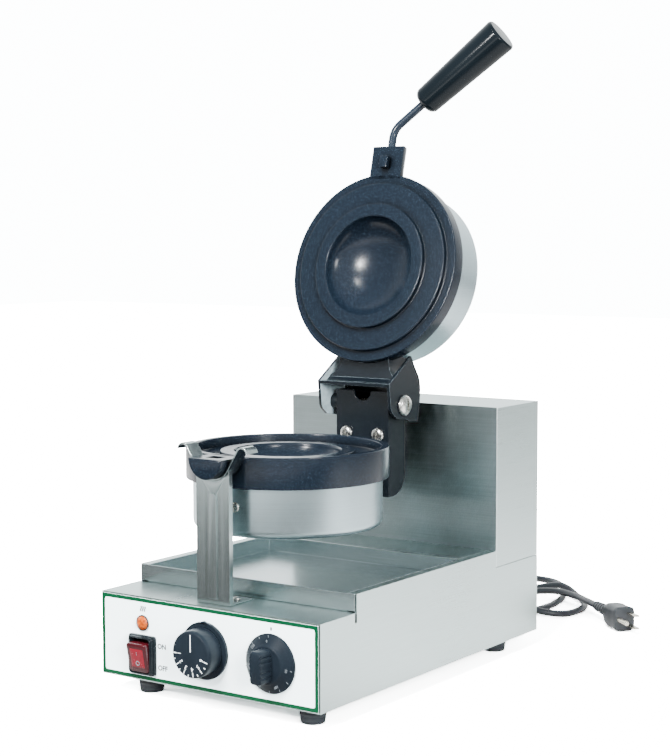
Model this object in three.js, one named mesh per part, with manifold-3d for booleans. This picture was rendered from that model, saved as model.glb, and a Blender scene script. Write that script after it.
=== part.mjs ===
// A countertop press for round filled waffles, with two non-stick moulds on a turning head.
// The frame is X to the right seen from the front, Y towards the back and Z up.
// All lengths are millimetres. The feet stand at Z 0 and the lid is shown open.
import * as THREE from 'three';
import { mergeVertices } from 'three/addons/utils/BufferGeometryUtils.js';
import Module from 'manifold-3d';

const wasm = await Module();
wasm.setup();

// Driving sizes of the whole machine
const BASE_WIDTH = 240;
const BASE_HEIGHT = 75;
const FOOT_HEIGHT = 15;
const FRONT_DECK = 51;
const RIM_HEIGHT = 16;
const SHELF_DEPTH = 53;
const COLUMN_DEPTH = 81;
const COLUMN_ABOVE_AXIS = 26;
const SHEET = 1.2;
const AXIS_HEIGHT = 217;
const MOULD_RADIUS = 92;
const FRONT_SPACE = 26;
const WEB_SPACE = 28;
const COLUMN_SPACE = 50;
const LID_OPEN_ANGLE = 104;

// Clearances shared by all pieces
const FIT_GAP = 0.3;
const OVERRUN = 4;
const WELD_DISTANCE = 1e-4;

// Planes and edges that follow from the driving sizes
const halfWidth = BASE_WIDTH / 2;
const baseTop = FOOT_HEIGHT + BASE_HEIGHT;
const rimTop = baseTop + RIM_HEIGHT;
const rimFront = FRONT_SPACE;
const mouldY = rimFront + MOULD_RADIUS;
const webFront = mouldY + MOULD_RADIUS + WEB_SPACE;
const columnFront = webFront + COLUMN_SPACE;
const columnTop = AXIS_HEIGHT + COLUMN_ABOVE_AXIS;
const shelfFront = columnFront - SHELF_DEPTH;
const baseDepth = columnFront + COLUMN_DEPTH;

// How finely round shapes are drawn
const FINE_SIDES = 48;
const ROUND_SIDES = 28;
const SMALL_SIDES = 12;

// Colours and finishes
function finish(color, roughness, metalness) {
  return { color, roughness, metalness };
}
const BRUSHED_STEEL = finish(0xc3cdca, 0.38, 0.9);
const POLISHED_STEEL = finish(0x8f9a99, 0.22, 0.95);
const BRIGHT_ZINC = finish(0xd4d2c8, 0.3, 0.9);
const NON_STICK = finish(0x27313a, 0.42, 0.3);
const COATED_BRACKET = finish(0x20272e, 0.5, 0.3);
const ALUMINIUM_COVER = finish(0xb9c4c6, 0.42, 0.85);
const BLACK_PLASTIC = finish(0x1c2227, 0.35, 0.0);
const BLACK_RUBBER = finish(0x16191c, 0.75, 0.0);
const WHITE_PANEL = finish(0xeef4f4, 0.4, 0.0);
const RED_ROCKER = finish(0xa81f28, 0.3, 0.0);
const AMBER_LENS = finish(0xe0742a, 0.2, 0.0);
const BRONZE = finish(0xa77b45, 0.4, 0.8);
const CERAMIC = finish(0xe4e0d4, 0.7, 0.0);

// Turns a closed three.js geometry into a solid that can be joined and cut.
function solid(geometry) {
  const bare = geometry.clone();
  bare.deleteAttribute('normal');
  bare.deleteAttribute('uv');
  const welded = mergeVertices(bare, WELD_DISTANCE);
  const points = welded.attributes.position.array;
  const index = welded.index.array;
  const corner = (i) => new THREE.Vector3().fromArray(points, 3 * i);
  const faces = [];
  let volume = 0;
  for (let i = 0; i < index.length; i += 3) {
    const [a, b, c] = [index[i], index[i + 1], index[i + 2]];
    if (a === b || b === c || c === a) continue;
    volume += corner(a).dot(corner(b).cross(corner(c)));
    faces.push([a, b, c]);
  }
  const outward = volume < 0 ? faces.map(([a, b, c]) => [a, c, b]) : faces;
  return new wasm.Manifold(new wasm.Mesh({
    numProp: 3,
    vertProperties: new Float32Array(points),
    triVerts: new Uint32Array(outward.flat()),
  }));
}

// Gives a solid back as a geometry with flat faces.
function asGeometry(body) {
  const mesh = body.getMesh();
  const geometry = new THREE.BufferGeometry();
  geometry.setAttribute('position', new THREE.BufferAttribute(mesh.vertProperties, 3));
  geometry.setIndex(new THREE.BufferAttribute(mesh.triVerts, 1));
  const flat = geometry.toNonIndexed();
  flat.computeVertexNormals();
  return flat;
}

function piece(name, body, look) {
  const mesh = new THREE.Mesh(asGeometry(body), new THREE.MeshStandardMaterial(look));
  mesh.name = name;
  return mesh;
}

// A box between two planes on each axis.
function block(x0, x1, y0, y1, z0, z1) {
  const box = new THREE.BoxGeometry(x1 - x0, y1 - y0, z1 - z0);
  box.translate((x0 + x1) / 2, (y0 + y1) / 2, (z0 + z1) / 2);
  return solid(box);
}

// Turns a lathe so that its axis lies along the machine's X, Y or Z.
const DIRECTIONS = {
  latheX: (g) => g.rotateZ(-Math.PI / 2),
  latheY: (g) => g,
  latheZ: (g) => g.rotateX(Math.PI / 2),
};

// A turned solid about an axis; the profile is a list of [radius, distance along the axis].
function turned(profile, direction, place, sides = ROUND_SIDES) {
  const [first, last] = [profile[0], profile[profile.length - 1]];
  const points = [[0, first[1]], ...profile, [0, last[1]]].map(([r, a]) => new THREE.Vector2(r, a));
  const lathe = DIRECTIONS[direction](new THREE.LatheGeometry(points, sides));
  return solid(lathe.translate(...place));
}

// A turned ring whose profile closes on itself and stays off the axis.
function ring(profile, direction, place, sides = ROUND_SIDES) {
  const points = [...profile, profile[0]].map(([r, a]) => new THREE.Vector2(r, a));
  const lathe = DIRECTIONS[direction](new THREE.LatheGeometry(points, sides));
  return solid(lathe.translate(...place));
}

function sleeve(inner, outer, from, to, direction, place, sides = ROUND_SIDES) {
  return ring([[inner, from], [outer, from], [outer, to], [inner, to]], direction, place, sides);
}

function round(radius, from, to, direction, place, sides = ROUND_SIDES) {
  return turned([[radius, from], [radius, to]], direction, place, sides);
}

// An outline in the YZ plane carried along X from one plane to another.
function alongX(outline, from, to) {
  const shape = new THREE.Shape(outline.map(([y, z]) => new THREE.Vector2(y, z)));
  const prism = new THREE.ExtrudeGeometry(shape, { depth: to - from, bevelEnabled: false });
  const turn = new THREE.Matrix4().makeBasis(
    new THREE.Vector3(0, 1, 0), new THREE.Vector3(0, 0, 1), new THREE.Vector3(1, 0, 0));
  return solid(prism.applyMatrix4(turn).translate(from, 0, 0));
}

// An outline in the XZ plane carried along Y from one plane to another.
function alongY(outline, from, to) {
  const shape = new THREE.Shape(outline.map(([x, z]) => new THREE.Vector2(x, z)));
  const prism = new THREE.ExtrudeGeometry(shape, { depth: to - from, bevelEnabled: false });
  const turn = new THREE.Matrix4().makeBasis(
    new THREE.Vector3(1, 0, 0), new THREE.Vector3(0, 0, 1), new THREE.Vector3(0, -1, 0));
  return solid(prism.applyMatrix4(turn).translate(0, to, 0));
}

// An outline in the XY plane carried up from one height to another.
function alongZ(outline, from, to) {
  const shape = new THREE.Shape(outline.map(([x, y]) => new THREE.Vector2(x, y)));
  const prism = new THREE.ExtrudeGeometry(shape, { depth: to - from, bevelEnabled: false });
  return solid(prism.translate(0, 0, from));
}

// Points of an arc in a plane, both ends included; angles are degrees.
function arc(centreA, centreB, radius, from, to, steps) {
  return Array.from({ length: steps + 1 }, (_, i) => {
    const angle = THREE.MathUtils.degToRad(from + (to - from) * i / steps);
    return [centreA + radius * Math.cos(angle), centreB + radius * Math.sin(angle)];
  });
}

const mirrored = (outline) => outline.map(([x, z]) => [-x, z]).reverse();

const machine = new THREE.Group();

// Places of the four controls on the front, as X and Z
const PANEL_THICKNESS = 0.8;
const PANEL_MARGIN = 1.1;
const SIDE_CONTROL_INSET = 49.5;
const sideControlX = halfWidth - SIDE_CONTROL_INSET;
const LAMP_Z = 67;
const SWITCH_Z = 38.8;
const TIMER_Z = 52.2;
const THERMOSTAT_Z = 51;
const panelBack = -FIT_GAP;
const panelFace = panelBack - PANEL_THICKNESS;
const seatFace = panelFace - FIT_GAP;

const LAMP_BODY_RADIUS = 5.4;
const LAMP_LENS_RADIUS = 6.4;
const SWITCH_BODY_WIDTH = 24;
const SWITCH_BODY_HEIGHT = 32.5;
const SPINDLE_RADIUS = 3;
const SPINDLE_HOLE_RADIUS = 5;

// The four holes that the panel and the steel front share.
function frontHoles(from, to) {
  const wide = SWITCH_BODY_WIDTH / 2 + FIT_GAP;
  const tall = SWITCH_BODY_HEIGHT / 2 + FIT_GAP;
  return [
    round(LAMP_BODY_RADIUS + FIT_GAP, from, to, 'latheY', [-sideControlX, 0, LAMP_Z], SMALL_SIDES),
    block(-sideControlX - wide, -sideControlX + wide, from, to, SWITCH_Z - tall, SWITCH_Z + tall),
    round(SPINDLE_HOLE_RADIUS, from, to, 'latheY', [0, 0, TIMER_Z], SMALL_SIDES),
    round(SPINDLE_HOLE_RADIUS, from, to, 'latheY', [sideControlX, 0, THERMOSTAT_Z], SMALL_SIDES),
  ];
}

// Base shell: one folded stainless sheet with front, deck and two sides that rise beside the tray.
const RIM_FLANGE = 9;
const RELIEF_SLOT_WIDTH = 2.8;
const RELIEF_SLOT_DEPTH = 8.5;
const RELIEF_SLOT_LEAD = 0.8;
const COLUMN_OPENING_SHARE = 0.7;
const POST_SCREW_RADIUS = 2;
const POST_SCREW_SPREAD = 9;
const POST_SCREW_REACH = 21;
const CRADLE_LENGTH = 15.5;
const CRADLE_RIM_GAP = 1.5;
const POST_INSET = 1;
const cradleBack = rimFront - CRADLE_RIM_GAP;
const cradleFront = cradleBack - CRADLE_LENGTH;
const postFront = cradleFront + POST_INSET;
const postScrewY = postFront + POST_SCREW_REACH;
const slotFront = FRONT_DECK - RELIEF_SLOT_LEAD;
const slotBack = slotFront + RELIEF_SLOT_WIDTH;
const rearPanelBack = baseDepth - FIT_GAP;
const rearPanelFront = rearPanelBack - SHEET;

function baseShell() {
  const inner = halfWidth - SHEET;
  let shell = block(-halfWidth, halfWidth, 0, baseDepth, FOOT_HEIGHT, baseTop)
    .subtract(block(-inner, inner, SHEET, baseDepth + OVERRUN, FOOT_HEIGHT - OVERRUN, baseTop - SHEET))
    .subtract(block(-inner, inner, rearPanelFront - FIT_GAP, baseDepth + OVERRUN,
      baseTop - SHEET - OVERRUN, baseTop + OVERRUN));
  for (const side of [-1, 1]) {
    const [near, far] = [side * inner, side * halfWidth].sort((a, b) => a - b);
    const [lipNear, lipFar] = [side * (halfWidth - RIM_FLANGE), side * halfWidth].sort((a, b) => a - b);
    shell = shell
      .add(block(near, far, slotBack, columnFront - FIT_GAP, baseTop - SHEET, rimTop))
      .add(block(lipNear, lipFar, slotBack, columnFront - FIT_GAP, rimTop - SHEET, rimTop))
      .subtract(block(Math.min(near, far + side * OVERRUN), Math.max(far, near + side * OVERRUN),
        slotFront, slotBack, baseTop - RELIEF_SLOT_DEPTH, baseTop + OVERRUN));
    shell = shell.subtract(round(POST_SCREW_RADIUS + FIT_GAP, baseTop - SHEET - OVERRUN, baseTop + OVERRUN,
      'latheZ', [side * POST_SCREW_SPREAD, postScrewY, 0], SMALL_SIDES));
  }
  const open = halfWidth * COLUMN_OPENING_SHARE;
  const columnMiddle = columnFront + COLUMN_DEPTH / 2;
  const openHalf = COLUMN_DEPTH * COLUMN_OPENING_SHARE / 2;
  shell = shell.subtract(block(-open, open, columnMiddle - openHalf, columnMiddle + openHalf,
    baseTop - SHEET - OVERRUN, baseTop + OVERRUN));
  for (const hole of frontHoles(-OVERRUN, SHEET + OVERRUN)) shell = shell.subtract(hole);
  return shell;
}
machine.add(piece('base_shell', baseShell(), BRUSHED_STEEL));

// Feet: tapered rubber bumpers, each with a stud through the bottom plate.
const FOOT_TOP_RADIUS = 12.8;
const FOOT_BOTTOM_RADIUS = 10.2;
const FOOT_COLLAR_HEIGHT = 2.6;
const FOOT_RIB_DEPTH = 0.5;
const FOOT_RIB_COUNT = 3;
const FOOT_CHAMFER = 0.8;
const FOOT_STUD_RADIUS = 2.4;
const FOOT_STUD_LENGTH = 5;
const FOOT_FRONT_Y = 22;
const FOOT_BACK_INSET = 44;
const FOOT_LEFT_INSET = 39;
const FOOT_RIGHT_INSET = 23.5;
const footColumns = { left: FOOT_LEFT_INSET - halfWidth, right: halfWidth - FOOT_RIGHT_INSET };
const footRows = { front: FOOT_FRONT_Y, back: baseDepth - FOOT_BACK_INSET };

function foot(x, y) {
  const top = FOOT_HEIGHT - FIT_GAP;
  const bodyTop = top - FOOT_COLLAR_HEIGHT;
  const shoulder = FOOT_TOP_RADIUS - FOOT_CHAMFER;
  const ribs = [];
  for (let i = 0; i <= FOOT_RIB_COUNT; i += 1) {
    const share = i / (FOOT_RIB_COUNT + 1);
    const next = (i + 1 / 2) / (FOOT_RIB_COUNT + 1);
    const radiusAt = (s) => FOOT_BOTTOM_RADIUS + (shoulder - FOOT_BOTTOM_RADIUS) * s;
    ribs.push([radiusAt(share), FOOT_CHAMFER + (bodyTop - FOOT_CHAMFER) * share]);
    ribs.push([radiusAt(next) - FOOT_RIB_DEPTH, FOOT_CHAMFER + (bodyTop - FOOT_CHAMFER) * next]);
  }
  const profile = [
    [FOOT_BOTTOM_RADIUS - FOOT_CHAMFER, 0], ...ribs, [shoulder, bodyTop],
    [FOOT_TOP_RADIUS, bodyTop], [FOOT_TOP_RADIUS, top],
    [FOOT_STUD_RADIUS, top], [FOOT_STUD_RADIUS, top + FOOT_STUD_LENGTH],
  ];
  return turned(profile, 'latheZ', [x, y, 0], SMALL_SIDES);
}
for (const [row, y] of Object.entries(footRows)) {
  for (const [column, x] of Object.entries(footColumns)) {
    machine.add(piece(`foot_${row}_${column}`, foot(x, y), BLACK_RUBBER));
  }
}

// Bottom plate: a loose sheet inside the shell with vent slots and four stud holes.
const BOTTOM_SLOT_COUNT = 6;
const BOTTOM_SLOT_WIDTH = 5;
const BOTTOM_SLOT_LENGTH = 110;
const BOTTOM_SLOT_PITCH = 16;

function bottomPlate() {
  const x = halfWidth - SHEET - FIT_GAP;
  let plate = block(-x, x, SHEET + FIT_GAP, rearPanelFront - FIT_GAP, FOOT_HEIGHT, FOOT_HEIGHT + SHEET);
  const middle = baseDepth / 2;
  const first = middle - BOTTOM_SLOT_PITCH * (BOTTOM_SLOT_COUNT - 1) / 2;
  for (let i = 0; i < BOTTOM_SLOT_COUNT; i += 1) {
    const y = first + i * BOTTOM_SLOT_PITCH;
    plate = plate.subtract(block(-BOTTOM_SLOT_LENGTH / 2, BOTTOM_SLOT_LENGTH / 2, y - BOTTOM_SLOT_WIDTH / 2,
      y + BOTTOM_SLOT_WIDTH / 2, FOOT_HEIGHT - OVERRUN, FOOT_HEIGHT + SHEET + OVERRUN));
  }
  for (const y of Object.values(footRows)) {
    for (const footX of Object.values(footColumns)) {
      plate = plate.subtract(round(FOOT_STUD_RADIUS + FIT_GAP, FOOT_HEIGHT - OVERRUN,
        FOOT_HEIGHT + SHEET + OVERRUN, 'latheZ', [footX, y, 0], SMALL_SIDES));
    }
  }
  return plate;
}
machine.add(piece('bottom_plate', bottomPlate(), BRUSHED_STEEL));

// Control panel: a thin printed plate over the steel front.
function controlPanel() {
  const x = halfWidth - PANEL_MARGIN;
  let plate = block(-x, x, panelFace, panelBack, FOOT_HEIGHT + PANEL_MARGIN, baseTop - PANEL_MARGIN);
  for (const hole of frontHoles(panelFace - OVERRUN, panelBack + OVERRUN)) plate = plate.subtract(hole);
  return plate;
}
machine.add(piece('control_panel', controlPanel(), WHITE_PANEL));

// Heat lamp: a faceted amber lens in front of a snap-in body.
const LENS_HEIGHT = 3.4;
const LENS_FLAT_SHARE = 0.55;
const LENS_SIDES = 10;
const LAMP_BODY_LENGTH = 22;

const lensProfile = [[LAMP_LENS_RADIUS * LENS_FLAT_SHARE, seatFace - LENS_HEIGHT],
  [LAMP_LENS_RADIUS, seatFace - LENS_HEIGHT / 2], [LAMP_LENS_RADIUS, seatFace]];
machine.add(piece('lamp_lens',
  turned(lensProfile, 'latheY', [-sideControlX, 0, LAMP_Z], LENS_SIDES), AMBER_LENS));
machine.add(piece('lamp_body', round(LAMP_BODY_RADIUS, panelFace, panelFace + LAMP_BODY_LENGTH,
  'latheY', [-sideControlX, 0, LAMP_Z], SMALL_SIDES), BLACK_PLASTIC));

// Rocker switch: a stepped sealing boot around a red rocker, with its body behind the panel.
const BEZEL_WIDTH = 30.4;
const BEZEL_HEIGHT = 35.4;
const BEZEL_THICKNESS = 2.8;
const BOOT_WIDTH = 27;
const BOOT_HEIGHT = 33.4;
const BOOT_FRONT = 5.5;
const BOOT_TUBE_DEPTH = 9;
const ROCKER_WIDTH = 21.2;
const ROCKER_HEIGHT = 26;
const ROCKER_FRONT = 9.9;
const ROCKER_DIP = 0.8;
const ROCKER_BACK = 3;
const ROCKER_SLOT_MARGIN = 2.1;
const ROCKER_TILT = 11.5;
const SWITCH_BODY_DEPTH = 16;
const SWITCH_TAB_WIDTH = 6;
const SWITCH_TAB_THICKNESS = 0.8;
const SWITCH_TAB_LENGTH = 8;

function centredBlock(width, height, from, to, x, z) {
  return block(x - width / 2, x + width / 2, from, to, z - height / 2, z + height / 2);
}

function switchBezel() {
  const open = centredBlock(ROCKER_WIDTH + 2 * FIT_GAP, ROCKER_HEIGHT + 2 * ROCKER_SLOT_MARGIN,
    seatFace - BOOT_FRONT - OVERRUN, BOOT_TUBE_DEPTH + OVERRUN, -sideControlX, SWITCH_Z);
  return centredBlock(BEZEL_WIDTH, BEZEL_HEIGHT, seatFace - BEZEL_THICKNESS, seatFace, -sideControlX, SWITCH_Z)
    .add(centredBlock(BOOT_WIDTH, BOOT_HEIGHT, seatFace - BOOT_FRONT, seatFace, -sideControlX, SWITCH_Z))
    .add(centredBlock(SWITCH_BODY_WIDTH, SWITCH_BODY_HEIGHT, seatFace - BEZEL_THICKNESS, BOOT_TUBE_DEPTH,
      -sideControlX, SWITCH_Z))
    .subtract(open);
}
machine.add(piece('switch_bezel', switchBezel(), BLACK_RUBBER));

function switchBody() {
  const front = BOOT_TUBE_DEPTH + FIT_GAP;
  const back = front + SWITCH_BODY_DEPTH;
  let body = centredBlock(SWITCH_BODY_WIDTH, SWITCH_BODY_HEIGHT, front, back, -sideControlX, SWITCH_Z);
  for (const step of [-1, 0, 1]) {
    body = body.add(centredBlock(SWITCH_TAB_WIDTH, SWITCH_TAB_THICKNESS, front, back + SWITCH_TAB_LENGTH,
      -sideControlX, SWITCH_Z + step * SWITCH_BODY_HEIGHT / 4));
  }
  return body;
}
machine.add(piece('switch_body', switchBody(), BLACK_PLASTIC));

const rocker = new THREE.Group();
rocker.position.set(-sideControlX, 0, SWITCH_Z);
rocker.rotation.x = THREE.MathUtils.degToRad(ROCKER_TILT);
const ROCKER_BACK_SHARE = 0.6;
const rockerOutline = [
  [-ROCKER_FRONT, -ROCKER_HEIGHT / 2], [ROCKER_DIP - ROCKER_FRONT, 0], [-ROCKER_FRONT, ROCKER_HEIGHT / 2],
  [ROCKER_BACK, ROCKER_BACK_SHARE * ROCKER_HEIGHT / 2], [ROCKER_BACK, -ROCKER_BACK_SHARE * ROCKER_HEIGHT / 2],
];
rocker.add(piece('switch_rocker', alongX(rockerOutline, -ROCKER_WIDTH / 2, ROCKER_WIDTH / 2), RED_ROCKER));
machine.add(rocker);

// Timer: a fixed pointer ring with a nib, a turning cap and the clockwork body behind.
const TIMER_RING_RADIUS = 25;
const TIMER_RING_THICKNESS = 3;
const TIMER_RING_EDGE = 0.8;
const NIB_WIDTH = 7;
const NIB_RISE = 1.2;
const TIMER_CAP_RADIUS = 20.5;
const TIMER_CAP_DEPTH = 16.8;
const TIMER_CAP_EDGE = 0.9;
const SPINDLE_REACH = 12;
const TIMER_BODY_WIDTH = 44;
const TIMER_BODY_DEPTH = 26;
const dialBodyFront = SHEET + FIT_GAP;
const capBack = seatFace - TIMER_RING_THICKNESS - FIT_GAP;
const capFront = capBack - TIMER_CAP_DEPTH;

function timerRing() {
  const front = seatFace - TIMER_RING_THICKNESS;
  const disc = turned([
    [TIMER_RING_RADIUS - TIMER_RING_EDGE, front], [TIMER_RING_RADIUS, front + TIMER_RING_EDGE],
    [TIMER_RING_RADIUS, seatFace],
  ], 'latheY', [0, 0, TIMER_Z]);
  const root = TIMER_Z + TIMER_RING_RADIUS - NIB_RISE;
  const tip = TIMER_Z + TIMER_RING_RADIUS + NIB_RISE;
  const nib = alongY([[-NIB_WIDTH, root], [NIB_WIDTH, root], [0, tip]], front, seatFace);
  const hole = round(SPINDLE_HOLE_RADIUS, front - OVERRUN, seatFace + OVERRUN,
    'latheY', [0, 0, TIMER_Z], SMALL_SIDES);
  return disc.add(nib).subtract(hole);
}
machine.add(piece('timer_pointer_ring', timerRing(), BLACK_PLASTIC));

function spindleBore(back, x, z) {
  return round(SPINDLE_RADIUS + FIT_GAP, back - SPINDLE_REACH, back + OVERRUN,
    'latheY', [x, 0, z], SMALL_SIDES);
}

const timerCap = turned([
  [TIMER_CAP_RADIUS - TIMER_CAP_EDGE, capFront], [TIMER_CAP_RADIUS, capFront + TIMER_CAP_EDGE],
  [TIMER_CAP_RADIUS, capBack],
], 'latheY', [0, 0, TIMER_Z]).subtract(spindleBore(capBack, 0, TIMER_Z));
machine.add(piece('timer_knob', timerCap, BLACK_PLASTIC));

const timerBodyBack = dialBodyFront + TIMER_BODY_DEPTH;
const timerBody = centredBlock(TIMER_BODY_WIDTH, TIMER_BODY_WIDTH, dialBodyFront, timerBodyBack, 0, TIMER_Z)
  .add(round(SPINDLE_RADIUS, capBack - SPINDLE_REACH + FIT_GAP, dialBodyFront + OVERRUN,
    'latheY', [0, 0, TIMER_Z], SMALL_SIDES));
machine.add(piece('timer_body', timerBody, BRIGHT_ZINC));

// Thermostat: a conical skirt with a ribbed bar to turn it, and a capillary body behind.
const SKIRT_RADIUS = 25.5;
const SKIRT_EDGE = 1.6;
const SKIRT_DEPTH = 7;
const SKIRT_NECK_RADIUS = 16.5;
const BAR_WIDTH = 12;
const BAR_HEIGHT = 28;
const BAR_DEPTH = 15.6;
const BAR_CORNER = 3;
const BAR_RIB_COUNT = 7;
const BAR_RIB_DEPTH = 0.8;
const BAR_RIB_SHARE = 0.45;
const THERMOSTAT_RADIUS = 17;
const THERMOSTAT_DEPTH = 20;
const skirtFront = seatFace - SKIRT_DEPTH;
const barFront = skirtFront - BAR_DEPTH;

// The bar's outline seen from the front, with grip notches down both long sides.
function barOutline() {
  const half = BAR_WIDTH / 2;
  const straight = BAR_HEIGHT / 2 - BAR_CORNER;
  const pitch = 2 * straight / BAR_RIB_COUNT;
  const side = [];
  for (let i = 0; i < BAR_RIB_COUNT; i += 1) {
    const low = -straight + i * pitch;
    side.push([half, low], [half, low + pitch * BAR_RIB_SHARE]);
    side.push([half - BAR_RIB_DEPTH, low + pitch * (1 + BAR_RIB_SHARE) / 2]);
  }
  const right = [...side, [half, straight], [half - BAR_CORNER, BAR_HEIGHT / 2]];
  const left = right.map(([x, z]) => [-x, -z]);
  return [...right, ...left].map(([x, z]) => [sideControlX + x, THERMOSTAT_Z + z]);
}

function thermostatKnob() {
  const skirt = turned([[SKIRT_NECK_RADIUS, skirtFront], [SKIRT_RADIUS, seatFace - SKIRT_EDGE],
    [SKIRT_RADIUS, seatFace]], 'latheY', [sideControlX, 0, THERMOSTAT_Z]);
  return skirt.add(alongY(barOutline(), barFront, seatFace - SKIRT_EDGE))
    .subtract(spindleBore(seatFace, sideControlX, THERMOSTAT_Z));
}
machine.add(piece('thermostat_knob', thermostatKnob(), BLACK_PLASTIC));

const thermostatBody = round(THERMOSTAT_RADIUS, dialBodyFront, dialBodyFront + THERMOSTAT_DEPTH,
  'latheY', [sideControlX, 0, THERMOSTAT_Z])
  .add(round(SPINDLE_RADIUS, seatFace - SPINDLE_REACH + FIT_GAP, dialBodyFront + OVERRUN,
    'latheY', [sideControlX, 0, THERMOSTAT_Z], SMALL_SIDES));
machine.add(piece('thermostat_body', thermostatBody, BRIGHT_ZINC));

// Drip tray: a shallow folded pan between the rims, with a wide front plate.
const TRAY_WALL = 1;
const TRAY_FRONT_LIFT = 1.2;
const trayHalf = halfWidth - RIM_FLANGE - FIT_GAP;
const trayFront = FRONT_DECK + FIT_GAP;
const trayBack = shelfFront - FIT_GAP;

function dripTray() {
  const bottom = baseTop + FIT_GAP;
  const plateHalf = halfWidth - SHEET - FIT_GAP;
  return block(-trayHalf, trayHalf, trayFront, trayBack, bottom, rimTop)
    .subtract(block(-trayHalf + TRAY_WALL, trayHalf - TRAY_WALL, trayFront + TRAY_WALL, trayBack - TRAY_WALL,
      bottom + TRAY_WALL, rimTop + OVERRUN))
    .add(block(-plateHalf, plateHalf, trayFront, trayFront + TRAY_WALL, baseTop + TRAY_FRONT_LIFT, rimTop));
}
machine.add(piece('drip_tray', dripTray(), POLISHED_STEEL));

// Rear shelf: a folded sheet between the tray and the column.
const shelf = block(-trayHalf, trayHalf, shelfFront, columnFront - FIT_GAP, baseTop + FIT_GAP, rimTop)
  .subtract(block(-trayHalf - OVERRUN, trayHalf + OVERRUN, shelfFront + SHEET, columnFront - FIT_GAP - SHEET,
    baseTop - OVERRUN, rimTop - SHEET));
machine.add(piece('rear_shelf', shelf, BRUSHED_STEEL));

// Head shaft sizes, shared by the column, the bearing and the head
const SHAFT_RADIUS = 12.3;
const SHAFT_BORE_RADIUS = 8.5;
const BUSH_WALL = 3.3;
const BEARING_WIDTH = 60;
const BEARING_HEIGHT = 46;
const BEARING_LENGTH = 21.5;
const COLLAR_RADIUS = 20;
const COLLAR_LENGTH = 9;
const SHAFT_TAIL = 2;
const bearingFront = columnFront + SHEET + FIT_GAP;
const bearingBack = bearingFront + BEARING_LENGTH;
const collarFront = bearingBack + FIT_GAP;
const collarBack = collarFront + COLLAR_LENGTH;

// Column cover: front, top and sides of the rear housing in one folded sheet.
function columnCover() {
  const inner = halfWidth - SHEET;
  return block(-halfWidth, halfWidth, columnFront, baseDepth, baseTop + FIT_GAP, columnTop)
    .subtract(block(-inner, inner, columnFront + SHEET, baseDepth + OVERRUN,
      baseTop - OVERRUN, columnTop - SHEET))
    .subtract(round(SHAFT_RADIUS + SHEET, columnFront - OVERRUN, columnFront + SHEET + OVERRUN,
      'latheY', [0, 0, AXIS_HEIGHT]));
}
machine.add(piece('column_cover', columnCover(), BRUSHED_STEEL));

// Cord outlet sizes, shared by the rear panel and the gland
const OUTLET_X = 60;
const OUTLET_Z = 45;
const GLAND_STUB_RADIUS = 8;
const CORD_DIAMETER = 7;

// Rear panel: a flat sheet inside the shell and the column, with vent slots.
const VENT_COUNT = 8;
const VENT_LENGTH = 90;
const VENT_HEIGHT = 3.5;
const VENT_PITCH = 9;
const VENT_BOTTOM = 130;

function rearPanel() {
  const x = halfWidth - SHEET - FIT_GAP;
  let plate = block(-x, x, rearPanelFront, rearPanelBack, FOOT_HEIGHT, columnTop - SHEET - FIT_GAP);
  for (let i = 0; i < VENT_COUNT; i += 1) {
    const z = VENT_BOTTOM + i * VENT_PITCH;
    plate = plate.subtract(block(-VENT_LENGTH / 2, VENT_LENGTH / 2, rearPanelFront - OVERRUN,
      rearPanelBack + OVERRUN, z, z + VENT_HEIGHT));
  }
  return plate.subtract(round(GLAND_STUB_RADIUS + FIT_GAP, rearPanelFront - OVERRUN, rearPanelBack + OVERRUN,
    'latheY', [OUTLET_X, 0, OUTLET_Z], SMALL_SIDES));
}
machine.add(piece('rear_panel', rearPanel(), BRUSHED_STEEL));

// Bearing block and bronze bush that carry the head's shaft inside the column.
const bushOuter = SHAFT_RADIUS + FIT_GAP + BUSH_WALL;
const bearingBlock = centredBlock(BEARING_WIDTH, BEARING_HEIGHT, bearingFront, bearingBack, 0, AXIS_HEIGHT)
  .subtract(round(bushOuter + FIT_GAP, bearingFront - OVERRUN, bearingBack + OVERRUN,
    'latheY', [0, 0, AXIS_HEIGHT]));
machine.add(piece('bearing_block', bearingBlock, COATED_BRACKET));
machine.add(piece('shaft_bush', sleeve(SHAFT_RADIUS + FIT_GAP, bushOuter, bearingFront, bearingBack,
  'latheY', [0, 0, AXIS_HEIGHT]), BRONZE));

// Terminal block on the bottom plate, behind the controls.
const TERMINAL_LENGTH = 60;
const TERMINAL_DEPTH = 22;
const TERMINAL_HEIGHT = 18;
const TERMINAL_Y = 110;
const TERMINAL_WAYS = 4;
const TERMINAL_GROOVE = 2.4;

function terminalBlock() {
  const floor = FOOT_HEIGHT + SHEET + FIT_GAP;
  const [front, back] = [TERMINAL_Y - TERMINAL_DEPTH / 2, TERMINAL_Y + TERMINAL_DEPTH / 2];
  let body = block(-TERMINAL_LENGTH / 2, TERMINAL_LENGTH / 2, front, back, floor, floor + TERMINAL_HEIGHT);
  for (let i = 1; i < TERMINAL_WAYS; i += 1) {
    const x = -TERMINAL_LENGTH / 2 + i * TERMINAL_LENGTH / TERMINAL_WAYS;
    body = body.subtract(block(x - TERMINAL_GROOVE / 2, x + TERMINAL_GROOVE / 2,
      front - OVERRUN, back + OVERRUN, floor + TERMINAL_HEIGHT / 2, floor + TERMINAL_HEIGHT + OVERRUN));
  }
  return body;
}
machine.add(piece('terminal_block', terminalBlock(), CERAMIC));

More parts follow.
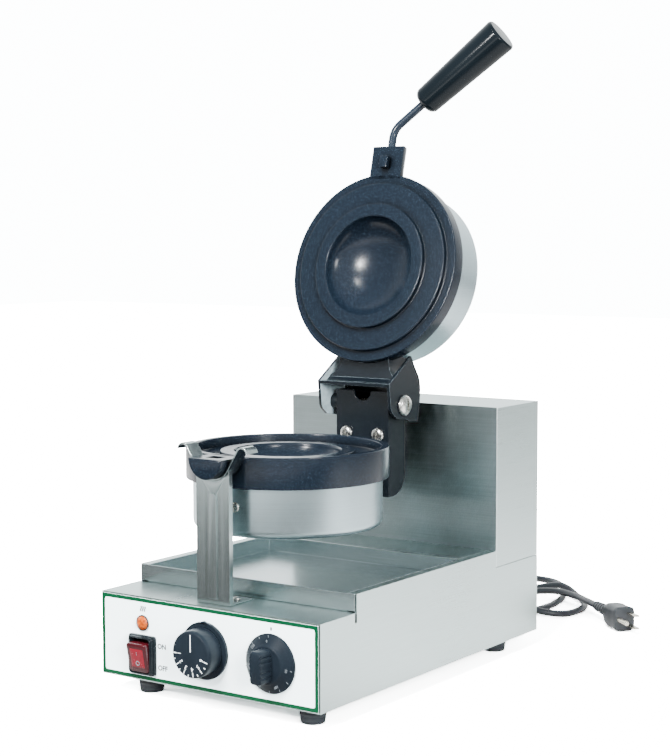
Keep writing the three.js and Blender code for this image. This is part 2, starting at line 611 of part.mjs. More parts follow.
// Front post: a bent stainless strip with a pressed rib, standing on its screwed foot.
const LUG_RADIUS = 17.9;
const CRADLE_SHEET = 1.6;
const POST_WIDTH = 36;
const POST_SHEET = 1.5;
const POST_RETURN = 5;
const POST_FOOT_LENGTH = 32;
const POST_RIB_WIDTH = 9;
const POST_RIB_RISE = 1.3;
const POST_RIB_FOOT = 5;
const POST_RIB_TOP = 187;
const POST_RIB_STEPS = 8;
const POST_TOP_DROP = 10;
const postBottom = baseTop + FIT_GAP;
const cradleOuter = LUG_RADIUS + FIT_GAP + CRADLE_SHEET;

function frontPost() {
  const half = POST_WIDTH / 2;
  const top = AXIS_HEIGHT - POST_TOP_DROP;
  let post = block(-half, half, postFront, postFront + POST_SHEET, postBottom, top)
    .add(block(-half, half, postFront, postFront + POST_FOOT_LENGTH, postBottom, postBottom + POST_SHEET))
    .add(block(-half, -half + POST_SHEET, postFront, postFront + POST_RETURN, postBottom, top))
    .add(block(half - POST_SHEET, half, postFront, postFront + POST_RETURN, postBottom, top));
  const ribHalf = POST_RIB_WIDTH / 2;
  const ribLow = postBottom + POST_RIB_FOOT;
  const rib = alongY([[-ribHalf, ribLow], [ribHalf, ribLow],
    ...arc(0, POST_RIB_TOP - ribHalf, ribHalf, 0, 180, POST_RIB_STEPS)],
  postFront - POST_RIB_RISE, postFront + POST_SHEET / 2);
  post = post.add(rib)
    .subtract(round(cradleOuter + FIT_GAP, postFront - OVERRUN, postFront + POST_RETURN + OVERRUN,
      'latheY', [0, 0, AXIS_HEIGHT]));
  for (const side of [-1, 1]) {
    post = post.subtract(round(POST_SCREW_RADIUS + FIT_GAP, postBottom - OVERRUN,
      postBottom + POST_SHEET + OVERRUN, 'latheZ', [side * POST_SCREW_SPREAD, postScrewY, 0], SMALL_SIDES));
  }
  return post;
}
machine.add(piece('front_post', frontPost(), BRUSHED_STEEL));

// Cradle: a bent strip that holds the head's front lug, with two arms that flare to rolled lips.
const ARM_START_ANGLE = -35;
const LIP_X = 32.2;
const LIP_RISE = 5;
const LIP_RADIUS = 6.3;
const LIP_ANGLES = [137, 5];
const CRADLE_STEPS = 9;
const LIP_STEPS = 5;

function cradle() {
  const lipZ = AXIS_HEIGHT + LIP_RISE;
  const right = [
    ...arc(0, AXIS_HEIGHT, LUG_RADIUS + FIT_GAP, -90, ARM_START_ANGLE, CRADLE_STEPS),
    ...arc(LIP_X, lipZ, LIP_RADIUS, LIP_ANGLES[0], LIP_ANGLES[1], LIP_STEPS),
    ...arc(LIP_X, lipZ, LIP_RADIUS - CRADLE_SHEET, LIP_ANGLES[1], LIP_ANGLES[0], LIP_STEPS),
    ...arc(0, AXIS_HEIGHT, cradleOuter, ARM_START_ANGLE, -90, CRADLE_STEPS),
  ];
  return alongY([...right, ...mirrored(right)], cradleFront, cradleBack);
}
machine.add(piece('cradle', cradle(), BRUSHED_STEEL));

// Slotted screws; the head faces up until it is turned, by degrees about X, Y and Z.
const SCREW_SLOT_WIDTH = 1.2;
const SCREW_SLOT_SHARE = 0.45;

function screw(headRadius, headHeight, shankRadius, length, turn, place) {
  const edge = headHeight * SCREW_SLOT_SHARE;
  const slot = block(-headRadius - OVERRUN, headRadius + OVERRUN, -SCREW_SLOT_WIDTH / 2, SCREW_SLOT_WIDTH / 2,
    headHeight - edge, headHeight + OVERRUN);
  return turned([[shankRadius, -length], [shankRadius, 0], [headRadius, 0], [headRadius, headHeight - edge],
    [headRadius - edge, headHeight]], 'latheZ', [0, 0, 0], SMALL_SIDES)
    .subtract(slot)
    .rotate(turn)
    .translate(place);
}
const FACING_FRONT = [90, 0, 0];
const FACING_RIGHT = [0, 90, 0];
const FACING_UP = [0, 0, 35];

// Post screws: pan heads on the post's foot.
const PAN_HEAD_RADIUS = 3.6;
const PAN_HEAD_HEIGHT = 2.2;
const POST_SCREW_LENGTH = 9;

for (const [name, side] of [['left', -1], ['right', 1]]) {
  const place = [side * POST_SCREW_SPREAD, postScrewY, postBottom + POST_SHEET + FIT_GAP];
  machine.add(piece(`post_screw_${name}`, screw(PAN_HEAD_RADIUS, PAN_HEAD_HEIGHT, POST_SCREW_RADIUS,
    POST_SCREW_LENGTH, FACING_UP, place), BRIGHT_ZINC));
}

// Sizes that both moulds share
const LIP_WIDTH = 7;
const LIP_EDGE = 1;
const LUG_ROOT = 5;
const LUG_EDGE = 0.9;
const TROUGH_WIDTH = 24;
const RING_WIDTH = 12.2;
const RING_EDGE = 0.6;
const BACK_INSET = 3;
const BACK_BEVEL = 3;
const COVER_INSET = 6.2;
const COVER_SHEET = 1;
const COVER_CORNER = 6;
const COVER_CORNER_SHARE = 0.3;
const HEATER_INSET = 19.8;
const HEATER_TUBE_RADIUS = 4;
const HEATER_TUBE_SIDES = 6;
const HEATER_SIDES = 32;
const BOWL_STEPS = 6;
const LUG_STEPS = 12;
const COVER_SCREW_HEAD_RADIUS = 3.4;
const COVER_SCREW_HEAD_HEIGHT = 1.8;
const COVER_SCREW_RADIUS = 1.6;
const COVER_SCREW_LENGTH = 7;
const COVER_SCREW_ANGLE = 4.35;
const troughRadius = MOULD_RADIUS - LIP_WIDTH;
const ringRadius = troughRadius - TROUGH_WIDTH;
const bowlRadius = ringRadius - RING_WIDTH;
const backRadius = ringRadius - BACK_INSET;
const coverRadius = MOULD_RADIUS - COVER_INSET;
const heaterRadius = coverRadius - HEATER_INSET;

// A quarter of an oval, from the bowl's edge to its lowest point on the axis.
function bowl(radius, edgeAt, bottomAt) {
  return Array.from({ length: BOWL_STEPS + 1 }, (_, i) => {
    const angle = Math.PI / 2 * i / BOWL_STEPS;
    return [radius * Math.cos(angle), edgeAt + (bottomAt - edgeAt) * Math.sin(angle)];
  });
}

// Half a round bar on the head's axis, flat at one height, with its front edge broken.
function halfRound(radius, front, back, height, angles) {
  const bar = turned([[radius - LUG_EDGE, front], [radius, front + LUG_EDGE], [radius, back]],
    'latheY', [0, 0, height], 2 * LUG_STEPS);
  const half = arc(0, height, radius + OVERRUN, ...angles, LUG_STEPS);
  return bar.intersect(alongY(half, front - OVERRUN, back + OVERRUN));
}

// A cover pan about a vertical axis, open at one height and closed at another.
function coverPan(openAt, closedAt, place) {
  const step = Math.sign(openAt - closedAt);
  const cut = COVER_CORNER * COVER_CORNER_SHARE;
  const innerRadius = coverRadius - COVER_SHEET;
  return turned([
    [coverRadius - COVER_CORNER, closedAt], [coverRadius - cut, closedAt + step * cut],
    [coverRadius, closedAt + step * COVER_CORNER], [coverRadius, openAt], [innerRadius, openAt],
    [innerRadius, closedAt + step * COVER_CORNER], [coverRadius - COVER_CORNER, closedAt + step * COVER_SHEET],
  ], 'latheZ', place, FINE_SIDES);
}

function coverScrewHole(place, height) {
  return round(COVER_SCREW_RADIUS + FIT_GAP, -coverRadius - OVERRUN, -coverRadius + OVERRUN,
    'latheY', [0, 0, height], SMALL_SIDES).rotate([0, 0, COVER_SCREW_ANGLE]).translate(place);
}

function coverScrew(place, height) {
  return screw(COVER_SCREW_HEAD_RADIUS, COVER_SCREW_HEAD_HEIGHT, COVER_SCREW_RADIUS, COVER_SCREW_LENGTH,
    FACING_FRONT, [0, -coverRadius - FIT_GAP, height]).rotate([0, 0, COVER_SCREW_ANGLE]).translate(place);
}

function heater(place) {
  const torus = new THREE.TorusGeometry(heaterRadius, HEATER_TUBE_RADIUS, HEATER_TUBE_SIDES, HEATER_SIDES);
  return solid(torus.translate(...place));
}

// Lower mould: a cast plate with a bowl, a crimping ring and a trough, and a lug at each end.
const LOWER_RIM_DEPTH = 28;
const LOWER_BACK_DEPTH = 34;
const LOWER_BOWL_DEPTH = 26;
const TROUGH_DEPTH = 9;
const LOWER_RING_DEPTH = 4;
const LOWER_LUG_OVERHANG = 10;
const POCKET_WIDTH = 14.4;
const POCKET_LENGTH = 12;
const POCKET_INSET = 10;
const POCKET_DEPTH = 5;
const REAR_LUG_WIDTH = 52;
const REAR_LUG_TOP = 9.5;
const REAR_LUG_BOTTOM = 26;
const lowerLugFront = cradleFront - LOWER_LUG_OVERHANG;

function lowerMould() {
  const plate = turned([
    [backRadius - BACK_BEVEL, -LOWER_BACK_DEPTH], [backRadius, -LOWER_RIM_DEPTH],
    [MOULD_RADIUS - LIP_EDGE, -LOWER_RIM_DEPTH], [MOULD_RADIUS, LIP_EDGE - LOWER_RIM_DEPTH],
    [MOULD_RADIUS, -LIP_EDGE], [MOULD_RADIUS - LIP_EDGE, 0], [troughRadius + LIP_EDGE, 0],
    [troughRadius, -LIP_EDGE], [troughRadius, LIP_EDGE - TROUGH_DEPTH],
    [troughRadius - LIP_EDGE, -TROUGH_DEPTH],
    [ringRadius + LIP_EDGE, -TROUGH_DEPTH], [ringRadius, LIP_EDGE - TROUGH_DEPTH],
    [ringRadius, -LOWER_RING_DEPTH - RING_EDGE], [ringRadius - RING_EDGE, -LOWER_RING_DEPTH],
    [bowlRadius + RING_EDGE, -LOWER_RING_DEPTH],
    ...bowl(bowlRadius, -LOWER_RING_DEPTH - RING_EDGE, -LOWER_BOWL_DEPTH),
  ], 'latheZ', [0, mouldY, AXIS_HEIGHT], FINE_SIDES);
  const frontLug = halfRound(LUG_RADIUS, lowerLugFront, rimFront + LUG_ROOT, AXIS_HEIGHT, [180, 360]);
  const rearLug = block(-REAR_LUG_WIDTH / 2, REAR_LUG_WIDTH / 2, mouldY + MOULD_RADIUS - LUG_ROOT - LIP_EDGE,
    webFront - FIT_GAP, AXIS_HEIGHT - REAR_LUG_BOTTOM, AXIS_HEIGHT - REAR_LUG_TOP);
  const pocketFront = lowerLugFront + POCKET_INSET;
  const pocket = block(-POCKET_WIDTH / 2, POCKET_WIDTH / 2, pocketFront, pocketFront + POCKET_LENGTH,
    AXIS_HEIGHT - POCKET_DEPTH, AXIS_HEIGHT + OVERRUN);
  return plate.add(frontLug).add(rearLug).subtract(pocket);
}
machine.add(piece('lower_mould', lowerMould(), NON_STICK));

// Lower cover, its screw and the ring heater inside it.
const LOWER_COVER_DEPTH = 72;
const LOWER_COVER_SCREW_DROP = 45;
const lowerCoverTop = AXIS_HEIGHT - LOWER_RIM_DEPTH - FIT_GAP;
const lowerPlace = [0, mouldY, 0];
const lowerScrewZ = AXIS_HEIGHT - LOWER_COVER_SCREW_DROP;
machine.add(piece('lower_cover', coverPan(lowerCoverTop, AXIS_HEIGHT - LOWER_COVER_DEPTH, lowerPlace)
  .subtract(coverScrewHole(lowerPlace, lowerScrewZ)), ALUMINIUM_COVER));
machine.add(piece('lower_cover_screw', coverScrew(lowerPlace, lowerScrewZ), BRIGHT_ZINC));
machine.add(piece('lower_heater', heater([0, mouldY, lowerCoverTop - HEATER_TUBE_RADIUS]), BRIGHT_ZINC));

// Lower bracket: a web behind the lower mould with two flanges that carry the lid's pivot.
const BRACKET_SHEET = 2.5;
const BRACKET_WIDTH = 60;
const BRACKET_DEPTH = 30;
const BRACKET_RISE = 40;
const BRACKET_DROP = 61;
const BRACKET_NOTCH_RADIUS = 10;
const BRACKET_BOTTOM_ROUND = 22;
const BRACKET_TOP_ROUND = 6;
const BRACKET_STEPS = 5;
const PIVOT_BEHIND_WEB = 8.5;
const PIVOT_RISE = 27.5;
const PIN_RADIUS = 4;
const FLANGE_SCREW_X = 18;
const FLANGE_SCREW_DROP = 1.6;
const FLANGE_SCREW_HEAD_RADIUS = 6.8;
const FLANGE_SCREW_HEAD_HEIGHT = 3;
const FLANGE_SCREW_RADIUS = 2.5;
const FLANGE_SCREW_LENGTH = 9;
const pivotY = webFront + PIVOT_BEHIND_WEB;
const pivotZ = AXIS_HEIGHT + PIVOT_RISE;

function flangeScrewHoles(from, to) {
  const hole = (x) => round(FLANGE_SCREW_RADIUS + FIT_GAP, from, to, 'latheY',
    [x, 0, AXIS_HEIGHT - FLANGE_SCREW_DROP], SMALL_SIDES);
  return hole(-FLANGE_SCREW_X).add(hole(FLANGE_SCREW_X));
}

function lowerBracket() {
  const half = BRACKET_WIDTH / 2;
  const back = webFront + BRACKET_DEPTH;
  const [bottom, top] = [AXIS_HEIGHT - BRACKET_DROP, AXIS_HEIGHT + BRACKET_RISE];
  const flange = [[webFront, bottom],
    ...arc(back - BRACKET_BOTTOM_ROUND, bottom + BRACKET_BOTTOM_ROUND, BRACKET_BOTTOM_ROUND,
      -90, 0, BRACKET_STEPS),
    ...arc(back - BRACKET_TOP_ROUND, top - BRACKET_TOP_ROUND, BRACKET_TOP_ROUND, 0, 90, BRACKET_STEPS),
    [webFront, top]];
  const hollow = block(BRACKET_SHEET - half, half - BRACKET_SHEET, webFront + BRACKET_SHEET, back + OVERRUN,
    bottom - OVERRUN, top + OVERRUN);
  const [cutFront, cutBack] = [webFront - OVERRUN, webFront + BRACKET_SHEET + OVERRUN];
  const pinHole = round(PIN_RADIUS + FIT_GAP, -half - OVERRUN, half + OVERRUN,
    'latheX', [0, pivotY, pivotZ], SMALL_SIDES);
  return alongX(flange, -half, half)
    .subtract(hollow)
    .subtract(round(BRACKET_NOTCH_RADIUS, cutFront, cutBack, 'latheY', [0, 0, top], SMALL_SIDES))
    .subtract(flangeScrewHoles(cutFront, cutBack))
    .subtract(pinHole);
}
machine.add(piece('lower_bracket', lowerBracket(), COATED_BRACKET));

// Shaft flange and the two screws that hold it behind the web.
const SHAFT_FLANGE_WIDTH = 52;
const SHAFT_FLANGE_RISE = 14;
const SHAFT_FLANGE_DROP = 11;
const SHAFT_FLANGE_THICKNESS = 4;
const shaftFlangeFront = webFront + BRACKET_SHEET + FIT_GAP;
const shaftFlangeBack = shaftFlangeFront + SHAFT_FLANGE_THICKNESS;
const shaftFlange = block(-SHAFT_FLANGE_WIDTH / 2, SHAFT_FLANGE_WIDTH / 2, shaftFlangeFront, shaftFlangeBack,
  AXIS_HEIGHT - SHAFT_FLANGE_DROP, AXIS_HEIGHT + SHAFT_FLANGE_RISE)
  .subtract(flangeScrewHoles(shaftFlangeFront - OVERRUN, shaftFlangeBack + OVERRUN))
  .subtract(round(SHAFT_BORE_RADIUS, shaftFlangeFront - OVERRUN, shaftFlangeBack + OVERRUN,
    'latheY', [0, 0, AXIS_HEIGHT]));
machine.add(piece('shaft_flange', shaftFlange, COATED_BRACKET));
for (const [name, side] of [['left', -1], ['right', 1]]) {
  const place = [side * FLANGE_SCREW_X, webFront - FIT_GAP, AXIS_HEIGHT - FLANGE_SCREW_DROP];
  machine.add(piece(`flange_screw_${name}`, screw(FLANGE_SCREW_HEAD_RADIUS, FLANGE_SCREW_HEAD_HEIGHT,
    FLANGE_SCREW_RADIUS, FLANGE_SCREW_LENGTH, FACING_FRONT, place), BRIGHT_ZINC));
}

// Hollow head shaft for the wires, kept in its bush by a collar.
machine.add(piece('head_shaft', sleeve(SHAFT_BORE_RADIUS, SHAFT_RADIUS, shaftFlangeBack + FIT_GAP,
  collarBack + SHAFT_TAIL, 'latheY', [0, 0, AXIS_HEIGHT]), BRIGHT_ZINC));
machine.add(piece('shaft_collar', sleeve(SHAFT_RADIUS + FIT_GAP, COLLAR_RADIUS, collarFront, collarBack,
  'latheY', [0, 0, AXIS_HEIGHT]), BRIGHT_ZINC));

// Lid pivot: a slotted pin, its nut and a spacer on each side between flange and lid plate.
const LID_PLATE_OFFSET = 38.4;
const LID_PLATE = 3;
const PIN_HEAD_RADIUS = 9.9;
const PIN_HEAD_HEIGHT = 5.5;
const PIN_TAIL = 3;
const NUT_RADIUS = 7.4;
const NUT_THICKNESS = 5.4;
const NUT_SIDES = 6;
const SPACER_RADIUS = 7.6;
const pinHeadX = LID_PLATE_OFFSET + LID_PLATE + FIT_GAP;
const pinEndX = pinHeadX + NUT_THICKNESS + PIN_TAIL;
const pivotPlace = [0, pivotY, pivotZ];
machine.add(piece('lid_pivot_pin', screw(PIN_HEAD_RADIUS, PIN_HEAD_HEIGHT, PIN_RADIUS, pinHeadX + pinEndX,
  FACING_RIGHT, [pinHeadX, pivotY, pivotZ]), BRIGHT_ZINC));
const nutBore = round(PIN_RADIUS + FIT_GAP, -pinEndX - OVERRUN, OVERRUN - pinHeadX,
  'latheX', pivotPlace, SMALL_SIDES);
machine.add(piece('pivot_nut', round(NUT_RADIUS, -pinHeadX - NUT_THICKNESS, -pinHeadX,
  'latheX', pivotPlace, NUT_SIDES).subtract(nutBore), BRIGHT_ZINC));
const spacerFrom = BRACKET_WIDTH / 2 + FIT_GAP;
const spacerTo = LID_PLATE_OFFSET - FIT_GAP;
for (const [name, from, to] of [['left', -spacerTo, -spacerFrom], ['right', spacerFrom, spacerTo]]) {
  machine.add(piece(`pivot_spacer_${name}`, sleeve(PIN_RADIUS + FIT_GAP, SPACER_RADIUS, from, to,
    'latheX', pivotPlace, SMALL_SIDES), COATED_BRACKET));
}

// Lid, drawn closed about its pivot and then swung open
const LID_LIP_GAP = 4.7;
const lid = new THREE.Group();
lid.position.set(...pivotPlace);
lid.rotation.x = -THREE.MathUtils.degToRad(LID_OPEN_ANGLE);
machine.add(lid);
const lidFace = LID_LIP_GAP - PIVOT_RISE;
const lidY = mouldY - pivotY;
const lidRimFront = lidY - MOULD_RADIUS;

// Upper mould: the lower mould's partner with a raised ring, and a front lug with a locating key.
const UPPER_RIM_DEPTH = 14.5;
const UPPER_BACK_DEPTH = 26;
const UPPER_BOWL_DEPTH = 16;
const UPPER_LIP_WIDTH = 10;
const UPPER_LAND_RISE = 4;
const UPPER_RING_RISE = LID_LIP_GAP + LOWER_RING_DEPTH - FIT_GAP;
const UPPER_LUG_RADIUS = 17.7;
const UPPER_LUG_REACH = 28;
const KEY_WIDTH = 8.6;
const KEY_RISE = 6.6;
const KEY_CLEARANCE = 0.5;
const ROD_RADIUS = 3.9;
const ROD_RISE = 5;
const ROD_SEAT = 10;
const landRadius = MOULD_RADIUS - UPPER_LIP_WIDTH;
const lidLugFront = lidRimFront - UPPER_LUG_REACH;
const rodZ = lidFace + ROD_RISE;

function upperMould() {
  const plate = turned([
    [backRadius - BACK_BEVEL, UPPER_BACK_DEPTH], [backRadius, UPPER_RIM_DEPTH],
    [MOULD_RADIUS - LIP_EDGE, UPPER_RIM_DEPTH], [MOULD_RADIUS, UPPER_RIM_DEPTH - LIP_EDGE],
    [MOULD_RADIUS, LIP_EDGE], [MOULD_RADIUS - LIP_EDGE, 0], [landRadius, 0],
    [landRadius, RING_EDGE - UPPER_LAND_RISE], [landRadius - RING_EDGE, -UPPER_LAND_RISE],
    [ringRadius, -UPPER_LAND_RISE],
    [ringRadius, RING_EDGE - UPPER_RING_RISE], [ringRadius - RING_EDGE, -UPPER_RING_RISE],
    [bowlRadius + RING_EDGE, -UPPER_RING_RISE],
    ...bowl(bowlRadius, RING_EDGE - UPPER_RING_RISE, UPPER_BOWL_DEPTH),
  ], 'latheZ', [0, lidY, lidFace], FINE_SIDES);
  const lug = halfRound(UPPER_LUG_RADIUS, lidLugFront, lidRimFront + LUG_ROOT, lidFace, [0, 180]);
  const keyFront = lowerLugFront + POCKET_INSET + KEY_CLEARANCE - pivotY;
  const keyBack = keyFront + POCKET_LENGTH - 2 * KEY_CLEARANCE;
  const key = block(-KEY_WIDTH / 2, KEY_WIDTH / 2, keyFront, keyBack, lidFace - KEY_RISE, lidFace + LIP_EDGE);
  const bore = round(ROD_RADIUS + FIT_GAP, lidLugFront - OVERRUN, lidLugFront + ROD_SEAT + FIT_GAP,
    'latheY', [0, 0, rodZ], SMALL_SIDES);
  return plate.add(lug).add(key).subtract(bore);
}
lid.add(piece('upper_mould', upperMould(), NON_STICK));

// Upper cover, its screw and the ring heater inside it.
const UPPER_COVER_DEPTH = 58;
const UPPER_COVER_SCREW_DEPTH = 36;
const upperCoverOpen = lidFace + UPPER_RIM_DEPTH + FIT_GAP;
const upperPlace = [0, lidY, 0];
const upperScrewZ = lidFace + UPPER_COVER_SCREW_DEPTH;
lid.add(piece('upper_cover', coverPan(upperCoverOpen, lidFace + UPPER_COVER_DEPTH, upperPlace)
  .subtract(coverScrewHole(upperPlace, upperScrewZ)), ALUMINIUM_COVER));
lid.add(piece('upper_cover_screw', coverScrew(upperPlace, upperScrewZ), BRIGHT_ZINC));
lid.add(piece('upper_heater', heater([0, lidY, upperCoverOpen + HEATER_TUBE_RADIUS]), BRIGHT_ZINC));

// Upper bracket: two pivot plates, a web across them and a neck that flares to meet the mould.
// The plate's corners lie round the pivot, as shares of its reach in Y and Z, from the web's low end on.
const PLATE_REACH = 36;
const PLATE_CORNER_SHARES = [
  [-0.417, -0.794], [-0.031, -0.644], [0.194, -0.569], [0.286, -0.481], [0.394, -0.233], [0.344, 0.256],
  [0.372, 0.4], [0.308, 0.814], [-0.228, 0.781], [-0.581, 0.731], [-0.778, 0.642], [-0.878, 0.564],
  [-1.058, 0.353], [-1.328, 0.061],
];
const WEB_HIGH_SHARES = [-0.731, 0.672];
const plateOutline = PLATE_CORNER_SHARES.map(([y, z]) => [y * PLATE_REACH, z * PLATE_REACH]);
const webLow = plateOutline[0];
const webHigh = WEB_HIGH_SHARES.map((share) => share * PLATE_REACH);
const WEB_THICKNESS = 3;
const NECK_BOTTOM = -20;
const NECK_TOP = 24;
const NECK_HALF_WIDTH = 28;
const NECK_ROUND_INSET = 1.5;
const NECK_ROUND = 16;
const NECK_ROUND_ANGLES = [100, 180];
const NECK_WRAP = 15.5;
const NECK_SCOOP = 6;
const NECK_SCOOP_START = 14.5;
const NECK_SCOOP_END = 0.5;
const NECK_STEPS = 6;
const lidRimBack = lidY + MOULD_RADIUS;
const neckEnd = lidRimBack - NECK_WRAP;

function upperBracket() {
  const outside = LID_PLATE_OFFSET + LID_PLATE;
  const edge = new THREE.Vector2(webHigh[0] - webLow[0], webHigh[1] - webLow[1]).normalize();
  const inwards = (point, depth) => [point[0] + edge.y * depth, point[1] - edge.x * depth];
  const web = alongX([webLow, webHigh, inwards(webHigh, WEB_THICKNESS), inwards(webLow, WEB_THICKNESS)],
    -outside, outside).intersect(alongX(plateOutline, -outside, outside));
  const webMiddle = (z) => inwards([webLow[0] + (z - webLow[1]) * edge.x / edge.y, z], WEB_THICKNESS / 2)[0];
  const sideView = alongX([[neckEnd, NECK_BOTTOM], [lidRimBack + NECK_SCOOP_END, NECK_BOTTOM + NECK_SCOOP],
    [lidRimBack + NECK_SCOOP_START, NECK_BOTTOM + NECK_SCOOP], [webMiddle(NECK_BOTTOM), NECK_BOTTOM],
    [webMiddle(NECK_TOP), NECK_TOP], [neckEnd, NECK_TOP]], -outside, outside);
  const flare = arc(NECK_HALF_WIDTH + NECK_ROUND, lidRimBack - NECK_ROUND_INSET, NECK_ROUND,
    NECK_ROUND_ANGLES[0], NECK_ROUND_ANGLES[1], NECK_STEPS);
  const right = [[outside, 0], [outside, flare[0][1]], ...flare, [NECK_HALF_WIDTH, neckEnd]];
  const neck = alongZ([...right, ...mirrored(right)], NECK_BOTTOM, NECK_TOP).intersect(sideView);
  const mouldSpace = round(MOULD_RADIUS + FIT_GAP, lidFace - OVERRUN, upperCoverOpen,
    'latheZ', upperPlace, FINE_SIDES);
  const coverSpace = round(coverRadius + FIT_GAP, upperCoverOpen - OVERRUN, PLATE_REACH,
    'latheZ', upperPlace, FINE_SIDES);
  const pinHole = round(PIN_RADIUS + FIT_GAP, -outside - OVERRUN, outside + OVERRUN,
    'latheX', [0, 0, 0], SMALL_SIDES);
  return alongX(plateOutline, LID_PLATE_OFFSET, outside)
    .add(alongX(plateOutline, -outside, -LID_PLATE_OFFSET))
    .add(web)
    .add(neck)
    .subtract(mouldSpace)
    .subtract(coverSpace)
    .subtract(pinHole);
}
lid.add(piece('upper_bracket', upperBracket(), COATED_BRACKET));

// Handle: a bent steel rod from the lid's lug, with a tapered grip that points to the right.
const HANDLE_ANGLE = 50;
const ROD_STRAIGHT = 17.4;
const ROD_BEND = 9;
const ROD_FREE_LENGTH = 39;
const ROD_GRIP_SEAT = 40;
const ROD_SIDES = 10;
const ROD_STEPS = 20;
const GRIP_LENGTH = 101;
const GRIP_START_RADIUS = 13.6;
const GRIP_END_RADIUS = 17;
const GRIP_START_EDGE = 4;
const GRIP_END_EDGE = 2;
const GRIP_EDGE_SHARE = 0.3;
const handleTurn = THREE.MathUtils.degToRad(HANDLE_ANGLE);
const handleLine = new THREE.Vector3(Math.sin(handleTurn), -Math.cos(handleTurn), 0);
const bendCorner = new THREE.Vector3(0, lidLugFront - ROD_STRAIGHT, rodZ);
const fromBend = (distance) => bendCorner.clone().addScaledVector(handleLine, distance);

function circle(radius, sides) {
  return new THREE.Shape(Array.from({ length: sides }, (_, i) => {
    const angle = 2 * Math.PI * i / sides;
    return new THREE.Vector2(radius * Math.cos(angle), radius * Math.sin(angle));
  }));
}

function handleRod() {
  const bendStart = bendCorner.clone().setY(bendCorner.y + ROD_BEND);
  const path = new THREE.CurvePath();
  path.add(new THREE.LineCurve3(new THREE.Vector3(0, lidLugFront + ROD_SEAT, rodZ), bendStart));
  path.add(new THREE.QuadraticBezierCurve3(bendStart, bendCorner, fromBend(ROD_BEND)));
  path.add(new THREE.LineCurve3(fromBend(ROD_BEND), fromBend(ROD_FREE_LENGTH + ROD_GRIP_SEAT)));
  const section = circle(ROD_RADIUS, ROD_SIDES);
  return solid(new THREE.ExtrudeGeometry(section, { steps: ROD_STEPS, extrudePath: path }));
}
lid.add(piece('handle_rod', handleRod(), COATED_BRACKET));

function handleGrip() {
  const cut = GRIP_END_EDGE * GRIP_EDGE_SHARE;
  const body = turned([
    [GRIP_START_RADIUS - GRIP_START_EDGE, 0], [GRIP_START_RADIUS, GRIP_START_EDGE],
    [GRIP_END_RADIUS, GRIP_LENGTH - GRIP_END_EDGE], [GRIP_END_RADIUS - cut, GRIP_LENGTH - cut],
    [GRIP_END_RADIUS - GRIP_END_EDGE, GRIP_LENGTH],
  ], 'latheY', [0, 0, 0], ROUND_SIDES);
  const bore = round(ROD_RADIUS + FIT_GAP, -OVERRUN, ROD_GRIP_SEAT + FIT_GAP, 'latheY', [0, 0, 0], SMALL_SIDES);
  const start = fromBend(ROD_FREE_LENGTH);
  return body.subtract(bore).rotate([0, 0, 180 + HANDLE_ANGLE]).translate([start.x, start.y, start.z]);
}
lid.add(piece('handle_grip', handleGrip(), BLACK_PLASTIC));

// Cord gland: a flanged sleeve in the rear panel that tapers along the cord.
const GLAND_FLANGE_RADIUS = 11;
const GLAND_FLANGE_THICKNESS = 3;
const GLAND_TAPER_START = 7.2;
const GLAND_TAPER_END = 5;
const GLAND_TAPER_LENGTH = 28;
const CORD_CLEARANCE = 0.4;
const boreRadius = CORD_DIAMETER / 2 + CORD_CLEARANCE;
const flangeBack = baseDepth + GLAND_FLANGE_THICKNESS;
machine.add(piece('cord_gland', ring([
  [boreRadius, rearPanelFront - GLAND_FLANGE_THICKNESS],
  [GLAND_STUB_RADIUS, rearPanelFront - GLAND_FLANGE_THICKNESS],
  [GLAND_STUB_RADIUS, baseDepth], [GLAND_FLANGE_RADIUS, baseDepth], [GLAND_FLANGE_RADIUS, flangeBack],
  [GLAND_TAPER_START, flangeBack], [GLAND_TAPER_END, flangeBack + GLAND_TAPER_LENGTH],
  [boreRadius, flangeBack + GLAND_TAPER_LENGTH],
], 'latheY', [OUTLET_X, 0, OUTLET_Z], SMALL_SIDES), BLACK_RUBBER));

// Power cord: from the gland down to the table and round in two loose loops to its plug.
const CORD_SIDES = 8;
const CORD_STEPS = 80;
const CORD_SAMPLES = 4000;
const CORD_ENTRY = 5;
const CORD_POINTS = [
  [60, 412, 45], [58.5, 427, 41], [53, 440, 32], [43, 449, 20], [28, 453, 9.5], [8, 451, 4.2], [-22, 445, 3.6],
  [-55, 446, 3.6], [-83, 463, 3.6], [-99, 494, 3.6], [-102, 530, 3.6], [-94, 570, 3.6], [-74, 607, 3.6],
  [-47, 633, 3.6], [-16, 640, 3.6], [12, 625, 3.6], [33, 594, 3.6], [48, 560, 3.6], [55, 525, 3.6],
  [53, 493, 3.6], [38, 468, 3.6], [8, 461, 3.6], [-24, 474, 3.6], [-46, 500, 3.6], [-48, 533, 3.6],
  [-30, 565, 3.6], [2, 583, 6], [34, 585, 12], [60, 573, 5.5], [80, 552, 3.6], [91, 523, 3.6],
  [87, 492, 3.6], [68, 475, 7], [45, 474, 12],
  [20, 484, 5], [-10, 505, 3.6], [-16, 526, 3.6], [-4, 546, 4.5], [20, 555, 9], [47, 554, 12], [76, 541, 12.2],
  [98, 523, 13],
];
const PLUG_PLACE = [118, 506, 13.4];
const PLUG_TURN = -38.3;
const PLUG_CORD_SEAT = 12;
const plugTurn = THREE.MathUtils.degToRad(PLUG_TURN);
const plugLine = new THREE.Vector3(Math.cos(plugTurn), Math.sin(plugTurn), 0);

